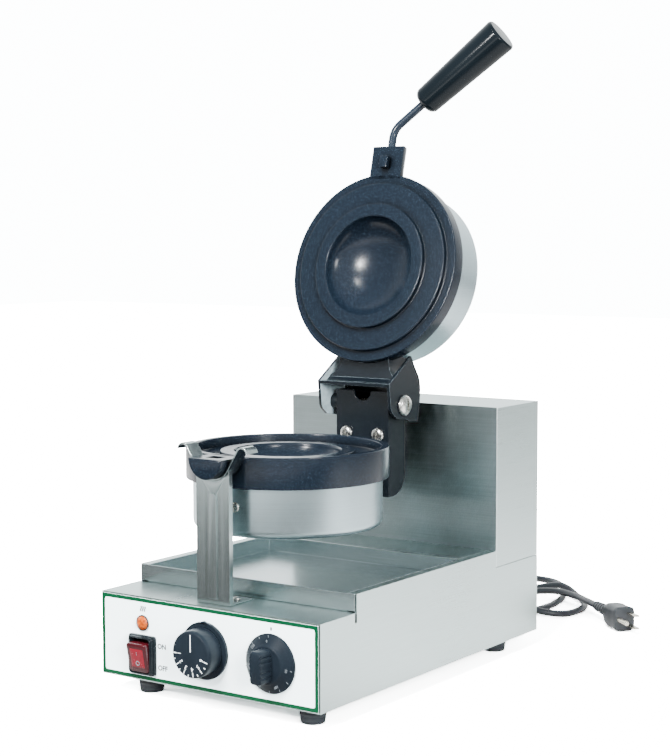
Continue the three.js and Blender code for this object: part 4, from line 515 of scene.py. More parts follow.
# Control panel
# A thin white printed plate with a green band round its edge, grey ON and OFF words
# beside the switch, a heat mark over the lamp and a dot over the thermostat's zero.
PANEL_WHITE = worked_finish("panel_white", (0.84, 0.95, 0.98), (0.80, 0.92, 0.955), 0.34, 0.42,
                            stretch=500)
PANEL_GREEN = worked_finish("panel_green", (0.0010, 0.030, 0.011), (0.0008, 0.025, 0.009), 0.40, 0.50,
                            stretch=400, specular=0.1)
PRINT_GREY = worked_finish("print_grey", (0.014, 0.017, 0.020), (0.010, 0.012, 0.015), 0.45, 0.5)
PRINT_WHITE = worked_finish("print_white", (0.60, 0.64, 0.65), (0.50, 0.54, 0.55), 0.45, 0.5)
PRINT_FAINT = worked_finish("print_faint", (0.100, 0.115, 0.125), (0.075, 0.088, 0.098), 0.45, 0.5)
panel_low, panel_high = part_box("control_panel")
panel_face = panel_low.y
# X, Z and height out of the panel.
facing_front = placing((0, panel_face, 0), ALONG_X, UP, FORWARD)
panel = broken_edges("control_panel", "panel_plate", 0.0002, PANEL_WHITE, "base", "white_panel")
panel.data.materials.append(PANEL_GREEN)
for face in panel.data.polygons:
    face.material_index = int(face.normal.y > -0.9)


def panel_outline(margin, corner):
    """The panel's outline drawn in by a margin."""
    return rectangle(panel_low.x + margin, panel_high.x - margin, panel_low.z + margin,
                     panel_high.z - margin, corner)


PRINT_THICK = 0.00008
band_outer, band_inner = panel_outline(0.0002, 0.0012), panel_outline(0.0036, 0.0022)
band_rings = [at_height(edge, lift) for edge, lift in ((band_outer, 0.0), (band_outer, PRINT_THICK),
                                                       (band_inner, PRINT_THICK), (band_inner, 0.0))]
band = skinned("panel_green_band", facing_front(np.array(band_rings)), PANEL_GREEN, closed=True)


def printed(name, words, x, z, size, material, face_y, turn=0.0, thick=0.00006, bold=0.0):
    """Plain words or numbers as a thin raised print, centred on (x, z) of a face that looks forward
    and turned about its middle."""
    curve = bpy.data.curves.new(name, "FONT")
    curve.body = words
    curve.size = size
    curve.offset = bold
    curve.align_x = "CENTER"
    curve.align_y = "CENTER"
    curve.extrude = thick
    curve.resolution_u = 3
    holder = bpy.data.objects.new(name + "_line", curve)
    mesh = bpy.data.meshes.new_from_object(holder)
    bpy.data.objects.remove(holder)
    mesh.transform(Matrix.Translation((x, face_y, z)) @ Matrix.Rotation(radians(turn), 4, "Y")
                   @ Matrix.Rotation(radians(90), 4, "X"))
    mesh.materials.clear()
    mesh.materials.append(material)
    return placed(name, mesh)


CONTROL_X = 0.0705
prints = [printed("print_" + word.lower(), word, x, z, 0.0062, PRINT_GREY, panel_face, bold=0.00022)
          for word, x, z in (("ON", -0.0493, 0.0482), ("OFF", -0.0483, 0.0291))]
tick = rectangle(CONTROL_X - 0.0008, CONTROL_X + 0.0008, 0.0788, 0.0816, 0.0003, 2)
prints.append(skinned("print_zero_mark", pressed(tick, 0.0, 0.00007, 0.00001, facing_front, 1), PRINT_GREY))
wave_z = np.linspace(-0.0022, 0.0022, 25)
waves = []
for shift in (-0.0022, 0.0, 0.0022):
    line = np.column_stack([-CONTROL_X + shift + 0.0004 * np.sin(wave_z / 0.0022 * np.pi), 0.0795 + wave_z,
                            np.full(25, 0.00003)])
    waves.append(tube_rings(facing_front(line), 0.00055, 6))
prints.append(skinned("print_heat_mark", waves, PRINT_GREY))
for piece in (band, *prints):
    settle(piece, "base", "white_panel")


# Heat lamp
# A faceted amber lens snapped into its black body through the panel.
LENS_AMBER, lens_tree, lens_shader, lens_place = node_material("lens_amber")
lens_cells = add_node(lens_tree, "TexVoronoi", {"Scale": 420, "Vector": lens_place})
lens_tint = tinted(lens_tree, lens_cells, (0.10, 0.010, 0.001, 1), (0.30, 0.055, 0.002, 1))
fill(lens_tree, lens_shader, {"Base Color": lens_tint, "Emission Color": lens_tint, "Emission Strength": 0.08,
                              "Roughness": 0.2, "Specular IOR Level": 0.25})
lamp_x, _, lamp_z = middle("lamp_lens")
lamp_place = (lamp_x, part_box("lamp_lens")[1].y, lamp_z)
lens_profile = [(0.0, 0.0034), (0.0030, 0.0034), (0.0052, 0.0024), (0.0064, 0.0010), (0.0064, 0.0)]
lens = skinned("amber_lens", turned(lens_profile, lamp_place, FORWARD, 8), LENS_AMBER, 12)
bezel_profile = eased([(0.0060, 0.0), (0.0071, 0.0), (0.0071, 0.0011), (0.0060, 0.0011)], 0.0004)
bezel = skinned("lamp_bezel", turned(bezel_profile, lamp_place, FORWARD, 48), GLAND_RUBBER, closed=True)
settle(lens, "base", "amber_lens", "lamp_lens")
settle(bezel, "base", "black_plastic")


# Rocker switch
# A black sealing boot that steps in twice, with a soft dark red cap over the rocker. The
# cap carries a brighter pad with a line above and a ring below, and is tipped to off.
BOOT_BLACK = worked_finish("boot_black", (0.0045, 0.0065, 0.0080), (0.0025, 0.0038, 0.0050), 0.24, 0.30,
                           stretch=90, specular=0.2)
CAP_RED = worked_finish("cap_dark_red", (0.026, 0.0018, 0.0035), (0.018, 0.0012, 0.0024), 0.22, 0.30,
                        stretch=120, specular=0.35)
PAD_RED = worked_finish("pad_red", (0.110, 0.0030, 0.0090), (0.085, 0.0022, 0.0065), 0.22, 0.30,
                        stretch=300, specular=0.3)
switch_x, _, switch_z = middle("switch_bezel")
boot_back = 0.0003
boot_steps = (
    (0.0152, 0.0177, 0.0), (0.0152, 0.0177, 0.0020), (0.0146, 0.0172, 0.0028), (0.0137, 0.0169, 0.0028),
    (0.0134, 0.0167, 0.0032), (0.0133, 0.0166, 0.0044), (0.0130, 0.0164, 0.0048), (0.0123, 0.0160, 0.0048),
    (0.0121, 0.0158, 0.0051), (0.0119, 0.0157, 0.0055), (0.0113, 0.0154, 0.0055), (0.0112, 0.0153, 0.0050),
    (0.0112, 0.0153, 0.0010), (0.0112, 0.0153, 0.0))
boot_rings = [at_height(rectangle(switch_x - half_x, switch_x + half_x, switch_z - half_z, switch_z + half_z,
                                  0.0030), boot_back + lift) for half_x, half_z, lift in boot_steps]
boot = skinned("switch_boot", facing_front(np.array(boot_rings)), BOOT_BLACK, 40, closed=True)
settle(boot, "base", "black_rubber", "switch_bezel")
tilt = radians(11.5)
# X, Z and reach forward about the rocker's pin, tipped about X.
on_the_rocker = placing((switch_x, BASE_FRONT_Y, switch_z), ALONG_X, (0, -np.sin(tilt), np.cos(tilt)),
                        (0, -np.cos(tilt), -np.sin(tilt)))


def rocker_levels(half_x, half_z, corner, levels):
    """Outlines of the rocker's cap, each a share of the full one at its own reach forward."""
    outline = rectangle(-half_x, half_x, -half_z, half_z, corner, 8)
    return on_the_rocker(np.array([at_height(outline * share, reach) for share, reach in levels]))


rocker = skinned("rocker_soft_cap", rocker_levels(0.0110, 0.0133, 0.0030, (
    (0.80, -0.0030), (0.96, 0.0040), (1.0, 0.0070), (1.0, 0.0088), (0.985, 0.0094), (0.95, 0.0097),
    (0.60, 0.0097), (0.0, 0.0097))), CAP_RED, 40)
pad = skinned("rocker_red_pad", rocker_levels(0.0074, 0.0086, 0.0008, (
    (1.0, 0.0093), (1.0, 0.0098), (0.975, 0.0099), (0.5, 0.0099), (0.0, 0.0099))), PAD_RED, 40)
mark_turn = np.linspace(0, 2 * np.pi, 33)
PAD_FRONT = 0.0099
ring_line = np.column_stack([0.0019 * np.cos(mark_turn), 0.0019 * np.sin(mark_turn) - 0.0046])
ring_line = at_height(ring_line, PAD_FRONT)
bar_line = at_height(np.column_stack([np.zeros(9), np.linspace(0.0030, 0.0062, 9)]), PAD_FRONT)
rocker_marks = skinned("rocker_marks", [tube_rings(on_the_rocker(ring_line), 0.00038, 6),
                                        tube_rings(on_the_rocker(bar_line), 0.00020, 6)], PRINT_FAINT)
settle(rocker, "rocker", "red_rocker", "switch_rocker")
settle(pad, "rocker", "red_rocker")
settle(rocker_marks, "rocker", "red_rocker")


# Timer dial
# A fixed black ring with a small nib at the top, and a turning cap with a white
# pointer line and a scale of ticks and numbers round its lower half.
DIAL_BLACK = worked_finish("dial_black", (0.0050, 0.0075, 0.0105), (0.0035, 0.0052, 0.0074), 0.32, 0.36,
                           stretch=60, smear_scale=20, specular=0.07)
low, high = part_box("timer_knob")
dial_z = middle("timer_knob")[2]
cap_back, cap_front = high.y, low.y
ring_back = cap_back + 0.0033
ring_profile = eased([(0.0, 0.0030), (0.0246, 0.0030), (0.0250, 0.0026), (0.0250, 0.0), (0.0, 0.0)], 0.0004)
dial_ring = skinned("timer_ring", turned(ring_profile, (0, ring_back, dial_z), FORWARD, 96), DIAL_BLACK)
nib_outline = np.array([(-0.0050, dial_z + 0.0240), (0.0050, dial_z + 0.0240), (0.0, dial_z + 0.0261)])
nib = skinned("timer_nib", pressed(eased_loop(nib_outline, 0.0008), 0.0006, 0.0036, 0.0005, facing_front),
              DIAL_BLACK)
cap_reach = cap_back - cap_front
cap_profile = eased([(0.0, cap_reach), (0.0190, cap_reach), (0.0200, cap_reach - 0.0008),
                     (0.0205, cap_reach - 0.0030), (0.0205, 0.0), (0.0, 0.0)], 0.0008)
cap = skinned("timer_cap", turned(cap_profile, (0, cap_back, dial_z), FORWARD, 96), DIAL_BLACK)


def on_a_dial(angle, centre_x, centre_z, face_y):
    """Takes (across, outward, forward) at a dial's angle, in degrees clockwise from its top, to the
    frame."""
    a = radians(angle)
    return placing((centre_x, face_y, centre_z), (np.cos(a), 0, -np.sin(a)), (np.sin(a), 0, np.cos(a)),
                   FORWARD)


def radial_bar(inner_radius, outer_radius, width, *dial):
    """A thin printed bar from one radius to another along a dial's angle."""
    bar = [(-width / 2, inner_radius), (width / 2, inner_radius), (width / 2, outer_radius),
           (-width / 2, outer_radius)]
    return on_a_dial(*dial)(np.array([at_height(bar, lift) for lift in (0.0, PRINT_THICK)]))


def dial_number(name, number, radius, size, material, *dial):
    """A printed number of a dial, upright to its middle."""
    x, y, z = on_a_dial(*dial)((0, radius, 0))
    return printed(name + number, number, x, z, size, material, y, dial[0])


timer_scale = [radial_bar(0.0024, 0.0172, 0.0009, 0, 0, dial_z, cap_front)]
timer_marks = []
for step in range(11):
    dial = (270 - 16.5 * step, 0, dial_z, cap_front)
    timer_scale.append(radial_bar(0.0172 if step % 2 else 0.0150, 0.0190, 0.0007, *dial))
    if step % 2 == 0:
        timer_marks.append(dial_number("timer_number_", str(1 + step // 2), 0.0122, 0.0052, PRINT_WHITE,
                                       *dial))
timer_marks.append(skinned("timer_scale", timer_scale, PRINT_WHITE))
settle(dial_ring, "base", "black_plastic", "timer_pointer_ring")
settle(nib, "base", "black_plastic")
settle(cap, "timer_dial", "black_plastic", "timer_knob")
for piece in timer_marks:
    settle(piece, "timer_dial", "black_plastic")


# Thermostat knob
# A black knob with a flared skirt and a ribbed bar across it to grip, with faint
# numbers round the skirt that start at the top.
knob_x, _, knob_z = middle("thermostat_knob")
skirt_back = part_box("thermostat_knob")[1].y
skirt_profile = eased([(0.0, 0.0079), (0.0158, 0.0079), (0.0172, 0.0068), (0.0251, 0.0019), (0.0255, 0.0012),
                       (0.0255, 0.0), (0.0, 0.0)], 0.0008)
skirt = turned(skirt_profile, (knob_x, skirt_back, knob_z), FORWARD, 96)
bar_steps = np.linspace(0, 2 * np.pi, 145)[:-1]
bar_x = 0.0060 * np.sign(np.cos(bar_steps)) * np.abs(np.cos(bar_steps)) ** 0.34
bar_z = 0.0140 * np.sign(np.sin(bar_steps)) * np.abs(np.sin(bar_steps)) ** 0.58
groove = 0.0008 * np.clip(np.cos(bar_z / 0.0140 * 6.5 * np.pi), 0, 1) * (np.abs(bar_z) < 0.0112)
bar_outline = np.column_stack([bar_x - np.sign(bar_x) * groove, bar_z])
bar_levels = []
for reach, widen in ((0.0012, 1.10), (0.0120, 1.04), (0.0208, 1.0), (0.0220, 0.965), (0.0225, 0.90),
                     (0.0226, 0.0)):
    level = bar_outline * (widen, min(widen, 1.0)) + (knob_x, knob_z)
    bar_levels.append(at_height(level, reach + (panel_face - skirt_back)))
knob = skinned("thermostat_skirt_and_bar", [skirt, facing_front(np.array(bar_levels))], DIAL_BLACK, 40)
SKIRT_SLOPE = (0.0068 - 0.0019) / (0.0251 - 0.0172)
NUMBER_RADIUS = 0.0199
mark_y = skirt_back - 0.0019 - SKIRT_SLOPE * (0.0251 - NUMBER_RADIUS) - 0.0008
knob_marks = []
skirt_ticks = []
for number, angle in (("0", 0), ("50", 97), ("100", 151), ("150", 205), ("200", 259), ("250", 313),
                      ("", 124), ("", 178), ("", 232), ("", 286), ("", 336)):
    if number:
        knob_marks.append(dial_number("thermostat_number_", number, NUMBER_RADIUS, 0.0032, PRINT_FAINT,
                                      angle, knob_x, knob_z, mark_y))
    skirt_ticks.append(radial_bar(0.0226 if number else 0.0216, 0.0246, 0.0005, angle, knob_x, knob_z,
                                  skirt_back - 0.0036))
knob_marks.append(skinned("thermostat_ticks", skirt_ticks, PRINT_FAINT))
settle(knob, "thermostat_dial", "black_plastic", "thermostat_knob")
for piece in knob_marks:
    settle(piece, "thermostat_dial", "black_plastic")


# Drip tray
# A folded pan of polished sheet that lies on the deck between the rims, with a wide
# plate across its front.
TRAY_STEEL = worked_finish("tray_steel", (0.52, 0.60, 0.615), (0.45, 0.53, 0.54), 0.18, 0.26, metallic=1.0,
                           stretch=(14, 1800, 1800), height=0.00001, smear_scale=6, smear_share=0.35)
broken_edges("drip_tray", "drip_tray_pan", 0.0004, TRAY_STEEL, "tray", "polished_stainless")


# Front post and cradle
# A bent stainless strip with a pressed rib stands on a screwed foot, and a strip with
# two rolled lips is welded on top of it to hold the head's lug.
POST_STEEL = worked_finish("post_steel", (0.48, 0.555, 0.555), (0.41, 0.475, 0.475), 0.18, 0.24, metallic=1.0,
                           stretch=(300, 300, 8), smear_scale=10, smear_share=0.3)
for node, width in (("front_post", 0.0005), ("cradle", 0.0004)):
    broken_edges(node, node + "_strip", width, POST_STEEL, "base", "brushed_stainless")


# Screws
# Zinc-plated slotted screws: two in the post's foot, two through the bracket's web and
# one in each cover.
ZINC = worked_finish("bright_zinc", (0.74, 0.73, 0.69), (0.60, 0.60, 0.57), 0.18, 0.32, metallic=1.0,
                     stretch=700, smear_scale=80, height=0.00001)
AXIS_Z = 0.217
MOULD_Y = BASE_FRONT_Y + 0.118


def slotted_head(name, centre, axis, head_radius, head_height, shank_radius, length):
    """A pan head on a plain shank, turned about its axis, with the slot pressed in: points of the
    head within half a slot's width of its middle plane drop by a third of the head's height."""
    crown = [(0.0, head_height), (head_radius * 0.55, head_height * 0.97),
             (head_radius * 0.86, head_height * 0.72), (head_radius, head_height * 0.30), (head_radius, 0.0),
             (shank_radius, 0.0), (shank_radius, -length), (0.0, -length)]
    fine = eased(crown, head_radius * 0.12, 3)
    inner = np.linspace(0.0, 0.9, 15)[1:-1, None] * [[head_radius * 0.55, 0]] + [[0, head_height * 0.985]]
    profile = np.vstack([fine[:1], inner, fine[1:]])
    rings = turned(profile, (0, 0, 0), (0, 0, 1), 64)
    slot = (np.abs(rings[..., 0]) < head_radius * 0.17) & (rings[..., 2] > head_height * 0.25)
    rings[..., 2] = np.where(slot, head_height * 0.52, rings[..., 2])
    turn = Vector(axis).to_track_quat("Z", "Y").to_matrix()
    return skinned(name, rings @ np.array(turn).T + np.asarray(centre, float), ZINC, 40)


for side in ("left", "right"):
    x, y, _ = middle("post_screw_" + side)
    seat = (x, y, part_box("post_screw_" + side)[1].z - 0.0022)
    screw = slotted_head("post_screw_head_" + side, seat, UP, 0.0036, 0.0022, 0.002, 0.009)
    settle(screw, "base", "bright_zinc", "post_screw_" + side)
    x, _, z = middle("flange_screw_" + side)
    seat = (x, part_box("flange_screw_" + side)[0].y + 0.0030, z)
    screw = slotted_head("flange_screw_head_" + side, seat, FORWARD, 0.0068, 0.0030, 0.0025, 0.009)
    settle(screw, "head", "bright_zinc", "flange_screw_" + side)


# Lower mould
# A cast plate with a bowl, a crimping ring and a trough under a dark non-stick coating.
# Its front lug turns in the cradle and takes the lid's key, and a block joins its back
# to the bracket.
NON_STICK, coat_tree, coat_shader, coat_place = node_material("non_stick")
coat_grain = add_node(coat_tree, "Group", {"Vector": coat_place, "Stretch": (1500, 1500, 1500),
                                           "Smear Scale": 18, "Smear Share": 0.5}, node_tree=GRAIN)
coat_specks = add_node(coat_tree, "TexVoronoi", {"Vector": coat_place, "Scale": 1300})
coat_mask = faded(coat_tree, coat_specks, 0.22, 0.10)
coat_tint = tinted(coat_tree, coat_mask, (0.0022, 0.0040, 0.0068, 1), (0.030, 0.048, 0.070, 1))
# Painted shade: ambient occlusion darkens the coat's colour towards near black in creases, grooves and
# hollows.
coat_crevice = add_node(coat_tree, "AmbientOcclusion", {"Distance": 0.009}, samples=8)
coat_shade = faded(coat_tree, coat_crevice.outputs["AO"], 0.50, 1)
coat_painted_shade = tinted(coat_tree, coat_shade, (0.0003, 0.0005, 0.0008, 1), coat_tint)
coat_sheen = faded(coat_tree, coat_grain, 0.3, 0.7, 0.17, 0.24)
coat_lift = add_node(coat_tree, "Bump", {"Distance": 0.00004, "Height": coat_grain.outputs["Fine"]})
fill(coat_tree, coat_shader, {"Base Color": coat_painted_shade, "Roughness": coat_sheen, "Normal": coat_lift,
                              "Specular IOR Level": 0.25})


def oval_bowl(radius, edge_at, bottom_at, steps=28):
    """A quarter of an oval from the bowl's edge to its middle: radius times a cosine, depth times a
    sine."""
    turn = np.linspace(0, np.pi / 2, steps + 1)
    return np.column_stack([radius * np.cos(turn), edge_at + (bottom_at - edge_at) * np.sin(turn)])


def half_round(radius, turn_from, turn_to, steps=40):
    """An arc of a circle as a closed outline with its chord."""
    turn = np.radians(np.linspace(turn_from, turn_to, steps + 1))
    return np.column_stack([radius * np.cos(turn), radius * np.sin(turn)])


MOULD_RADIUS, CAST_CORNER = 0.092, 0.0011


def cast_plate(steps, bowl, centre):
    """A round casting: its stepped profile with every corner eased, and then its bowl."""
    return turned(np.vstack([eased(steps, CAST_CORNER, 5), bowl]), centre, UP, 160)


lower_steps = [(0.0, -0.034), (0.055, -0.034), (0.058, -0.028), (MOULD_RADIUS, -0.028), (MOULD_RADIUS, 0.0),
               (0.0850, 0.0), (0.0845, -0.009), (0.0615, -0.009), (0.0610, -0.004), (0.0488, -0.004),
               (0.0484, -0.0052)]
lower_centre = np.array([0.0, MOULD_Y, AXIS_Z])
lower_plate = cast_plate(lower_steps, oval_bowl(0.0482, -0.0055, -0.026), lower_centre)
LUG_FRONT, POCKET_FRONT, POCKET_BACK, LUG_BACK = np.array([-0.001, 0.009, 0.021, 0.031]) + BASE_FRONT_Y
# X, Z above the head's axis, and Y.
along_the_head = placing((0, 0, AXIS_Z), ALONG_X, UP, ALONG_Y)
pocket_x, pocket_z = 0.0072, -0.005
lug_outline = half_round(0.0179, 180, 360)
lug_solid = pressed(lug_outline, LUG_FRONT, POCKET_FRONT, 0.00003, along_the_head, 3, 0.0009)
pocketed = np.vstack([lug_outline, [(pocket_x, 0.0), (pocket_x, pocket_z), (-pocket_x, pocket_z),
                                    (-pocket_x, 0.0)]])
lug_middle = pressed(pocketed, POCKET_FRONT - 0.0001, POCKET_BACK + 0.0001, 0.00003, along_the_head, 1)
lug_behind = pressed(lug_outline, POCKET_BACK, LUG_BACK, 0.0002, along_the_head, 1)
block_outline = rectangle(-0.026, 0.026, -0.026, -0.0095, 0.003)
rear_block = pressed(block_outline, MOULD_Y + 0.086, BASE_FRONT_Y + 0.2377, 0.0008, along_the_head)
lower_mould = skinned("lower_mould_plate", [lower_plate, lug_solid, lug_middle, lug_behind, rear_block],
                      NON_STICK, 38)
settle(lower_mould, "head", "non_stick_cast", "lower_mould")


# Lower cover
# A spun pan of bright aluminium under the mould that hides its heater, with one dark
# screw in its side.
COVER_METAL = worked_finish("spun_aluminium", (0.47, 0.57, 0.60), (0.39, 0.48, 0.51), 0.28, 0.34,
                            metallic=1.0, stretch=(1, 1, 2000), height=0.000012, smear_scale=9,
                            smear_share=0.35)
HEATER_STEEL = worked_finish("heater_steel", (0.30, 0.29, 0.28), (0.20, 0.19, 0.19), 0.35, 0.5, metallic=1.0)
COVER_OUTSIDE, COVER_INSIDE = 0.0858, 0.0848


def cover_profile(open_at, closed_at):
    """A pan's wall as a profile: the flat bottom, a round corner, the side, the rim and back inside."""
    step = 0.001 * np.sign(open_at - closed_at)
    below = open_at - step * 0.3
    outside = eased([(0.0, closed_at), (COVER_OUTSIDE, closed_at), (COVER_OUTSIDE, below)], 0.007, 8)
    rim = eased([(COVER_OUTSIDE, below), (COVER_OUTSIDE, open_at), (COVER_INSIDE, open_at),
                 (COVER_INSIDE, below)], 0.0002, 2)
    closed_at += step
    inside = eased([(COVER_INSIDE, below), (COVER_INSIDE, closed_at), (0.0, closed_at)], 0.006, 8)
    return np.vstack([outside[:-1], rim, inside[1:]])


lower_cover = skinned("lower_cover_pan", turned(cover_profile(-0.0283, -0.072), lower_centre, UP, 160),
                      COVER_METAL, 40)
cover_turn = radians(4.35)
screw_direction = np.array([np.sin(cover_turn), -np.cos(cover_turn), 0.0])
COVER_SCREW_OUT = 0.0861
screw_seat = lower_centre + COVER_SCREW_OUT * screw_direction + (0, 0, -0.045)
cover_screw = slotted_head("lower_cover_screw_head", screw_seat, screw_direction, 0.0046, 0.0018, 0.0016,
                           0.006)
settle(lower_cover, "head", "aluminium_cover", "lower_cover")
settle(cover_screw, "head", "bright_zinc", "lower_cover_screw")


# Lower bracket, shaft and bearing
# A dark coated bracket behind the lower mould, its flange bolted to a hollow steel
# shaft that turns in a bronze bush in the column.
BRACKET_DARK = worked_finish("bracket_dark", (0.0022, 0.0036, 0.0052), (0.0012, 0.0020, 0.0030), 0.28, 0.36,
                             stretch=500, smear_scale=25, specular=0.3)
BRONZE = worked_finish("bush_bronze", (0.55, 0.36, 0.16), (0.42, 0.27, 0.12), 0.25, 0.4, metallic=1.0)
for node, width in (("lower_bracket", 0.0005), ("shaft_flange", 0.0004)):
    broken_edges(node, node + "_plate", width, BRACKET_DARK, "head", "coated_bracket")


def ring_tube(name, inner, outer, length, cut, start, axis, sides, material):
    """A tube whose wall is a rectangle of radius and length, with eased corners, carried round an axis."""
    wall = eased([(inner, 0.0), (outer, 0.0), (outer, length), (inner, length), (inner, 0.0001)], cut, 3)
    return skinned(name, turned(wall, start, axis, sides), material, closed=True)


for node, name, inner, outer, cut, body, slot, finish in (
        ("head_shaft", "head_shaft_tube", 0.0085, 0.0123, 0.0005, "head", "bright_zinc", ZINC),
        ("shaft_collar", "shaft_collar_ring", 0.0126, 0.020, 0.0006, "head", "bright_zinc", ZINC),
        ("shaft_bush", "bearing_bush", 0.0126, 0.0159, 0.0004, "base", "bronze", BRONZE)):
    low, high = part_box(node)
    tube = ring_tube(name, inner, outer, high.y - low.y, cut, (0, low.y, AXIS_Z), ALONG_Y, 64, finish)
    settle(tube, body, slot, node)
broken_edges("bearing_block", "bearing_housing", 0.0005, BRACKET_DARK, "base", "coated_bracket")


# Lid pivot
# A slotted steel pin through both brackets, with a nut on its left end and a dark
# spacer on each side.
pivot = np.array([0.0, BASE_FRONT_Y + 0.2465, 0.2445])
PIN_HEAD_X = 0.0417
pin = slotted_head("pivot_pin", pivot + (PIN_HEAD_X, 0, 0), ALONG_X, 0.0099, 0.0055, 0.0040, 0.0921)
settle(pin, "head", "bright_zinc", "lid_pivot_pin")
nut_turn = np.arange(6) * np.pi / 3
nut_outline = eased_loop(0.0073 * np.column_stack([np.cos(nut_turn), np.sin(nut_turn)]), 0.0006, 2)
# Y, Z and X about the lid's pivot.
across_the_pivot = placing(pivot, ALONG_Y, UP, ALONG_X)
nut = skinned("pivot_hex_nut", pressed(nut_outline, -0.0471, -0.0417, 0.0006, across_the_pivot), ZINC, 30)
settle(nut, "head", "bright_zinc", "pivot_nut")
for side, start in (("left", -0.0381), ("right", 0.0303)):
    spacer = ring_tube("pivot_spacer_tube_" + side, 0.0043, 0.0076, 0.0078, 0.0004, pivot + (start, 0, 0),
                       ALONG_X, 48, BRACKET_DARK)
    settle(spacer, "head", "coated_bracket", "pivot_spacer_" + side)


# Upper mould
# The lid's casting, made like the lower mould: a land, a raised crimping ring and a
# bowl, and a half-round lug with a key that drops into the lower lug's pocket.
LID_OPEN = radians(104)
FACE_RISE = -0.0228
# X, Y and Z about the pivot, drawn closed and turned back by the lid's open angle.
swung_open = placing(pivot, ALONG_X, (0, np.cos(LID_OPEN), -np.sin(LID_OPEN)),
                     (0, np.sin(LID_OPEN), np.cos(LID_OPEN)))
LID_Y = -0.1285
upper_centre = np.array([0.0, LID_Y, FACE_RISE])
upper_steps = [(0.0, 0.026), (0.055, 0.026), (0.058, 0.0145), (MOULD_RADIUS, 0.0145), (MOULD_RADIUS, 0.0),
               (0.0825, 0.0), (0.0820, -0.0040), (0.0612, -0.0040), (0.0608, -0.0084), (0.0489, -0.0084),
               (0.0485, -0.0072)]
upper_plate = cast_plate(upper_steps, oval_bowl(0.0483, -0.0069, 0.016), upper_centre)
lid_lug_front, lid_lug_back = LID_Y - MOULD_RADIUS - 0.028, LID_Y - MOULD_RADIUS + 0.005
# X, Z above the lid's face, and Y, about the pivot and drawn closed.
along_the_lid = placing((0, 0, FACE_RISE), ALONG_X, UP, ALONG_Y)
upper_lug = pressed(half_round(0.0177, 0, 180), lid_lug_front, lid_lug_back, 0.0004, along_the_lid, 3, 0.0010)
key_y = LID_Y - MOULD_RADIUS - 0.0165
key_block = pressed(rectangle(-0.0043, 0.0043, -0.0066, 0.001, 0.0005, 2), key_y, key_y + 0.011, 0.0005,
                    along_the_lid)
upper_mould = skinned("upper_mould_plate", [swung_open(part) for part in (upper_plate, upper_lug, key_block)],
                      NON_STICK, 38)
settle(upper_mould, "lid", "non_stick_cast", "upper_mould")


# Upper cover
# The same spun pan as the lower one, a little shallower, over the lid's heater.
upper_cover = skinned("upper_cover_pan", swung_open(turned(cover_profile(0.0148, 0.0580), upper_centre, UP,
                                                           160)), COVER_METAL, 40)
screw_seat = swung_open(upper_centre + COVER_SCREW_OUT * screw_direction + (0, 0, 0.036))
upper_screw = slotted_head("upper_cover_screw_head", screw_seat, swung_open(screw_direction) - pivot, 0.0034,
                           0.0018, 0.0016, 0.006)
settle(upper_cover, "lid", "aluminium_cover", "upper_cover")
settle(upper_screw, "lid", "bright_zinc", "upper_cover_screw")


# Upper bracket
# Two plates on the pivot pin, a web between them with a lip turned down inside the
# lower bracket, and a flared neck bolted to the lid's casting, all dark coated, with a
# lighter grey painted highlight on its broken edges and on the left plate's inner face.
# Painted highlight: a lighter grey for the bracket's broken edges and the left plate's inner face.
BRACKET_EDGE_HIGHLIGHT = worked_finish("bracket_edge_painted_highlight", (0.26, 0.33, 0.36), (0.17, 0.22, 0.24), 0.34, 0.42, metallic=0.3,
                             stretch=300, smear_scale=40)
upper_bracket = broken_edges("upper_bracket", "upper_bracket_casting", 0.0010, BRACKET_DARK, "lid",
                             "coated_bracket", BRACKET_EDGE_HIGHLIGHT)
# Painted light: the left plate's inner face, which looks along +X, takes the lighter edge material as well.
for face in upper_bracket.data.polygons:
    face.material_index = int(face.normal.x > 0.9 and face.center.x < 0)
# X, Z and Y about the pivot.
behind_the_pivot = placing(pivot, ALONG_X, UP, ALONG_Y)
lip_outline = eased_loop([(-0.0262, -0.0040), (0.0262, -0.0040), (0.0262, 0.0105), (0.0375, 0.0105),
                          (0.0375, 0.0195), (-0.0375, 0.0195), (-0.0375, 0.0105), (-0.0262, 0.0105)], 0.0010)
back_lip = skinned("upper_bracket_back_lip", pressed(lip_outline, 0.0160, 0.0178, 0.0004, behind_the_pivot),
                   BRACKET_DARK)
settle(back_lip, "lid", "coated_bracket")


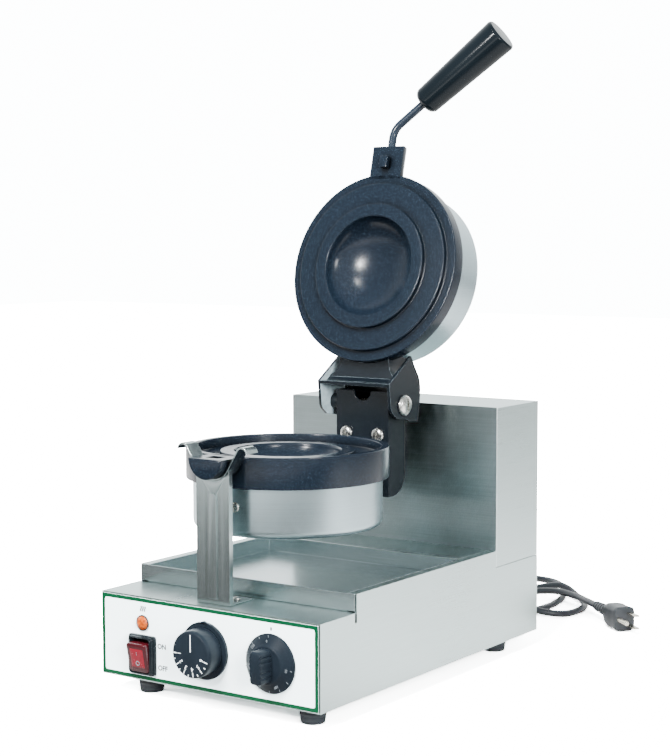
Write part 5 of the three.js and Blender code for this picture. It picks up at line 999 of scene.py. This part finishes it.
# Handle
# A dark plated rod, bent once, from the lid's lug, with a tapered glossy grip.
ROD_DARK = worked_finish("rod_dark", (0.0060, 0.0100, 0.0160), (0.0040, 0.0070, 0.0110), 0.20, 0.24,
                         specular=0.3, stretch=300)
GRIP_BLACK = worked_finish("grip_black", (0.0022, 0.0036, 0.0048), (0.0016, 0.0026, 0.0035), 0.14, 0.15,
                           stretch=30, smear_scale=10, specular=0.14)
handle_turn = radians(50)
handle_line = np.array([np.sin(handle_turn), -np.cos(handle_turn), 0.0])
rod_z = FACE_RISE + 0.005
bend = np.array([0.0, lid_lug_front - 0.0174, rod_z])
ELBOW_REACH = 0.009
elbow_start, elbow_end = bend + (0, ELBOW_REACH, 0), bend + ELBOW_REACH * handle_line
lead_in = np.linspace((0.0, lid_lug_front + 0.010, rod_z), elbow_start, 6)
share = np.linspace(0, 1, 17)[:, None]
elbow = (1 - share) ** 2 * elbow_start + 2 * share * (1 - share) * bend + share ** 2 * elbow_end
lead_out = np.linspace(elbow_end, bend + 0.0790 * handle_line, 8)
rod_line = np.vstack([lead_in[:-1], elbow, lead_out[1:]])
rod = skinned("handle_bent_rod", swung_open(tube_rings(rod_line, 0.0039, 24)), ROD_DARK)
GRIP_LENGTH = 0.1010
grip_profile = eased([(0.0, 0.0), (0.0096, 0.0), (0.0136, 0.0040), (0.0170, 0.0990), (0.0154, GRIP_LENGTH),
                      (0.0, GRIP_LENGTH)], (0.0020, 0.0025, 0.0012, 0.0006), 5)
grip_rings = turned(grip_profile, bend + 0.0390 * handle_line, handle_line, 72)
grip = skinned("handle_tapered_grip", swung_open(grip_rings), GRIP_BLACK)
settle(rod, "lid", "coated_bracket", "handle_rod")
settle(grip, "lid", "black_plastic", "handle_grip")


# Heaters and the bodies behind the panel
# Two steel heater rings and the plain bodies of lamp, switch, timer, thermostat and
# terminal block keep their CAD shapes.
CERAMIC = worked_finish("terminal_ceramic", (0.78, 0.75, 0.67), (0.70, 0.67, 0.60), 0.6, 0.75, height=0.00005)
for node, finish in (("lower_heater", HEATER_STEEL), ("upper_heater", HEATER_STEEL),
                     ("lamp_body", GLAND_RUBBER), ("switch_body", GLAND_RUBBER), ("timer_body", ZINC),
                     ("thermostat_body", ZINC), ("terminal_block", CERAMIC)):
    node_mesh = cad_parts[node].data
    node_mesh.materials.clear()
    node_mesh.materials.append(finish)
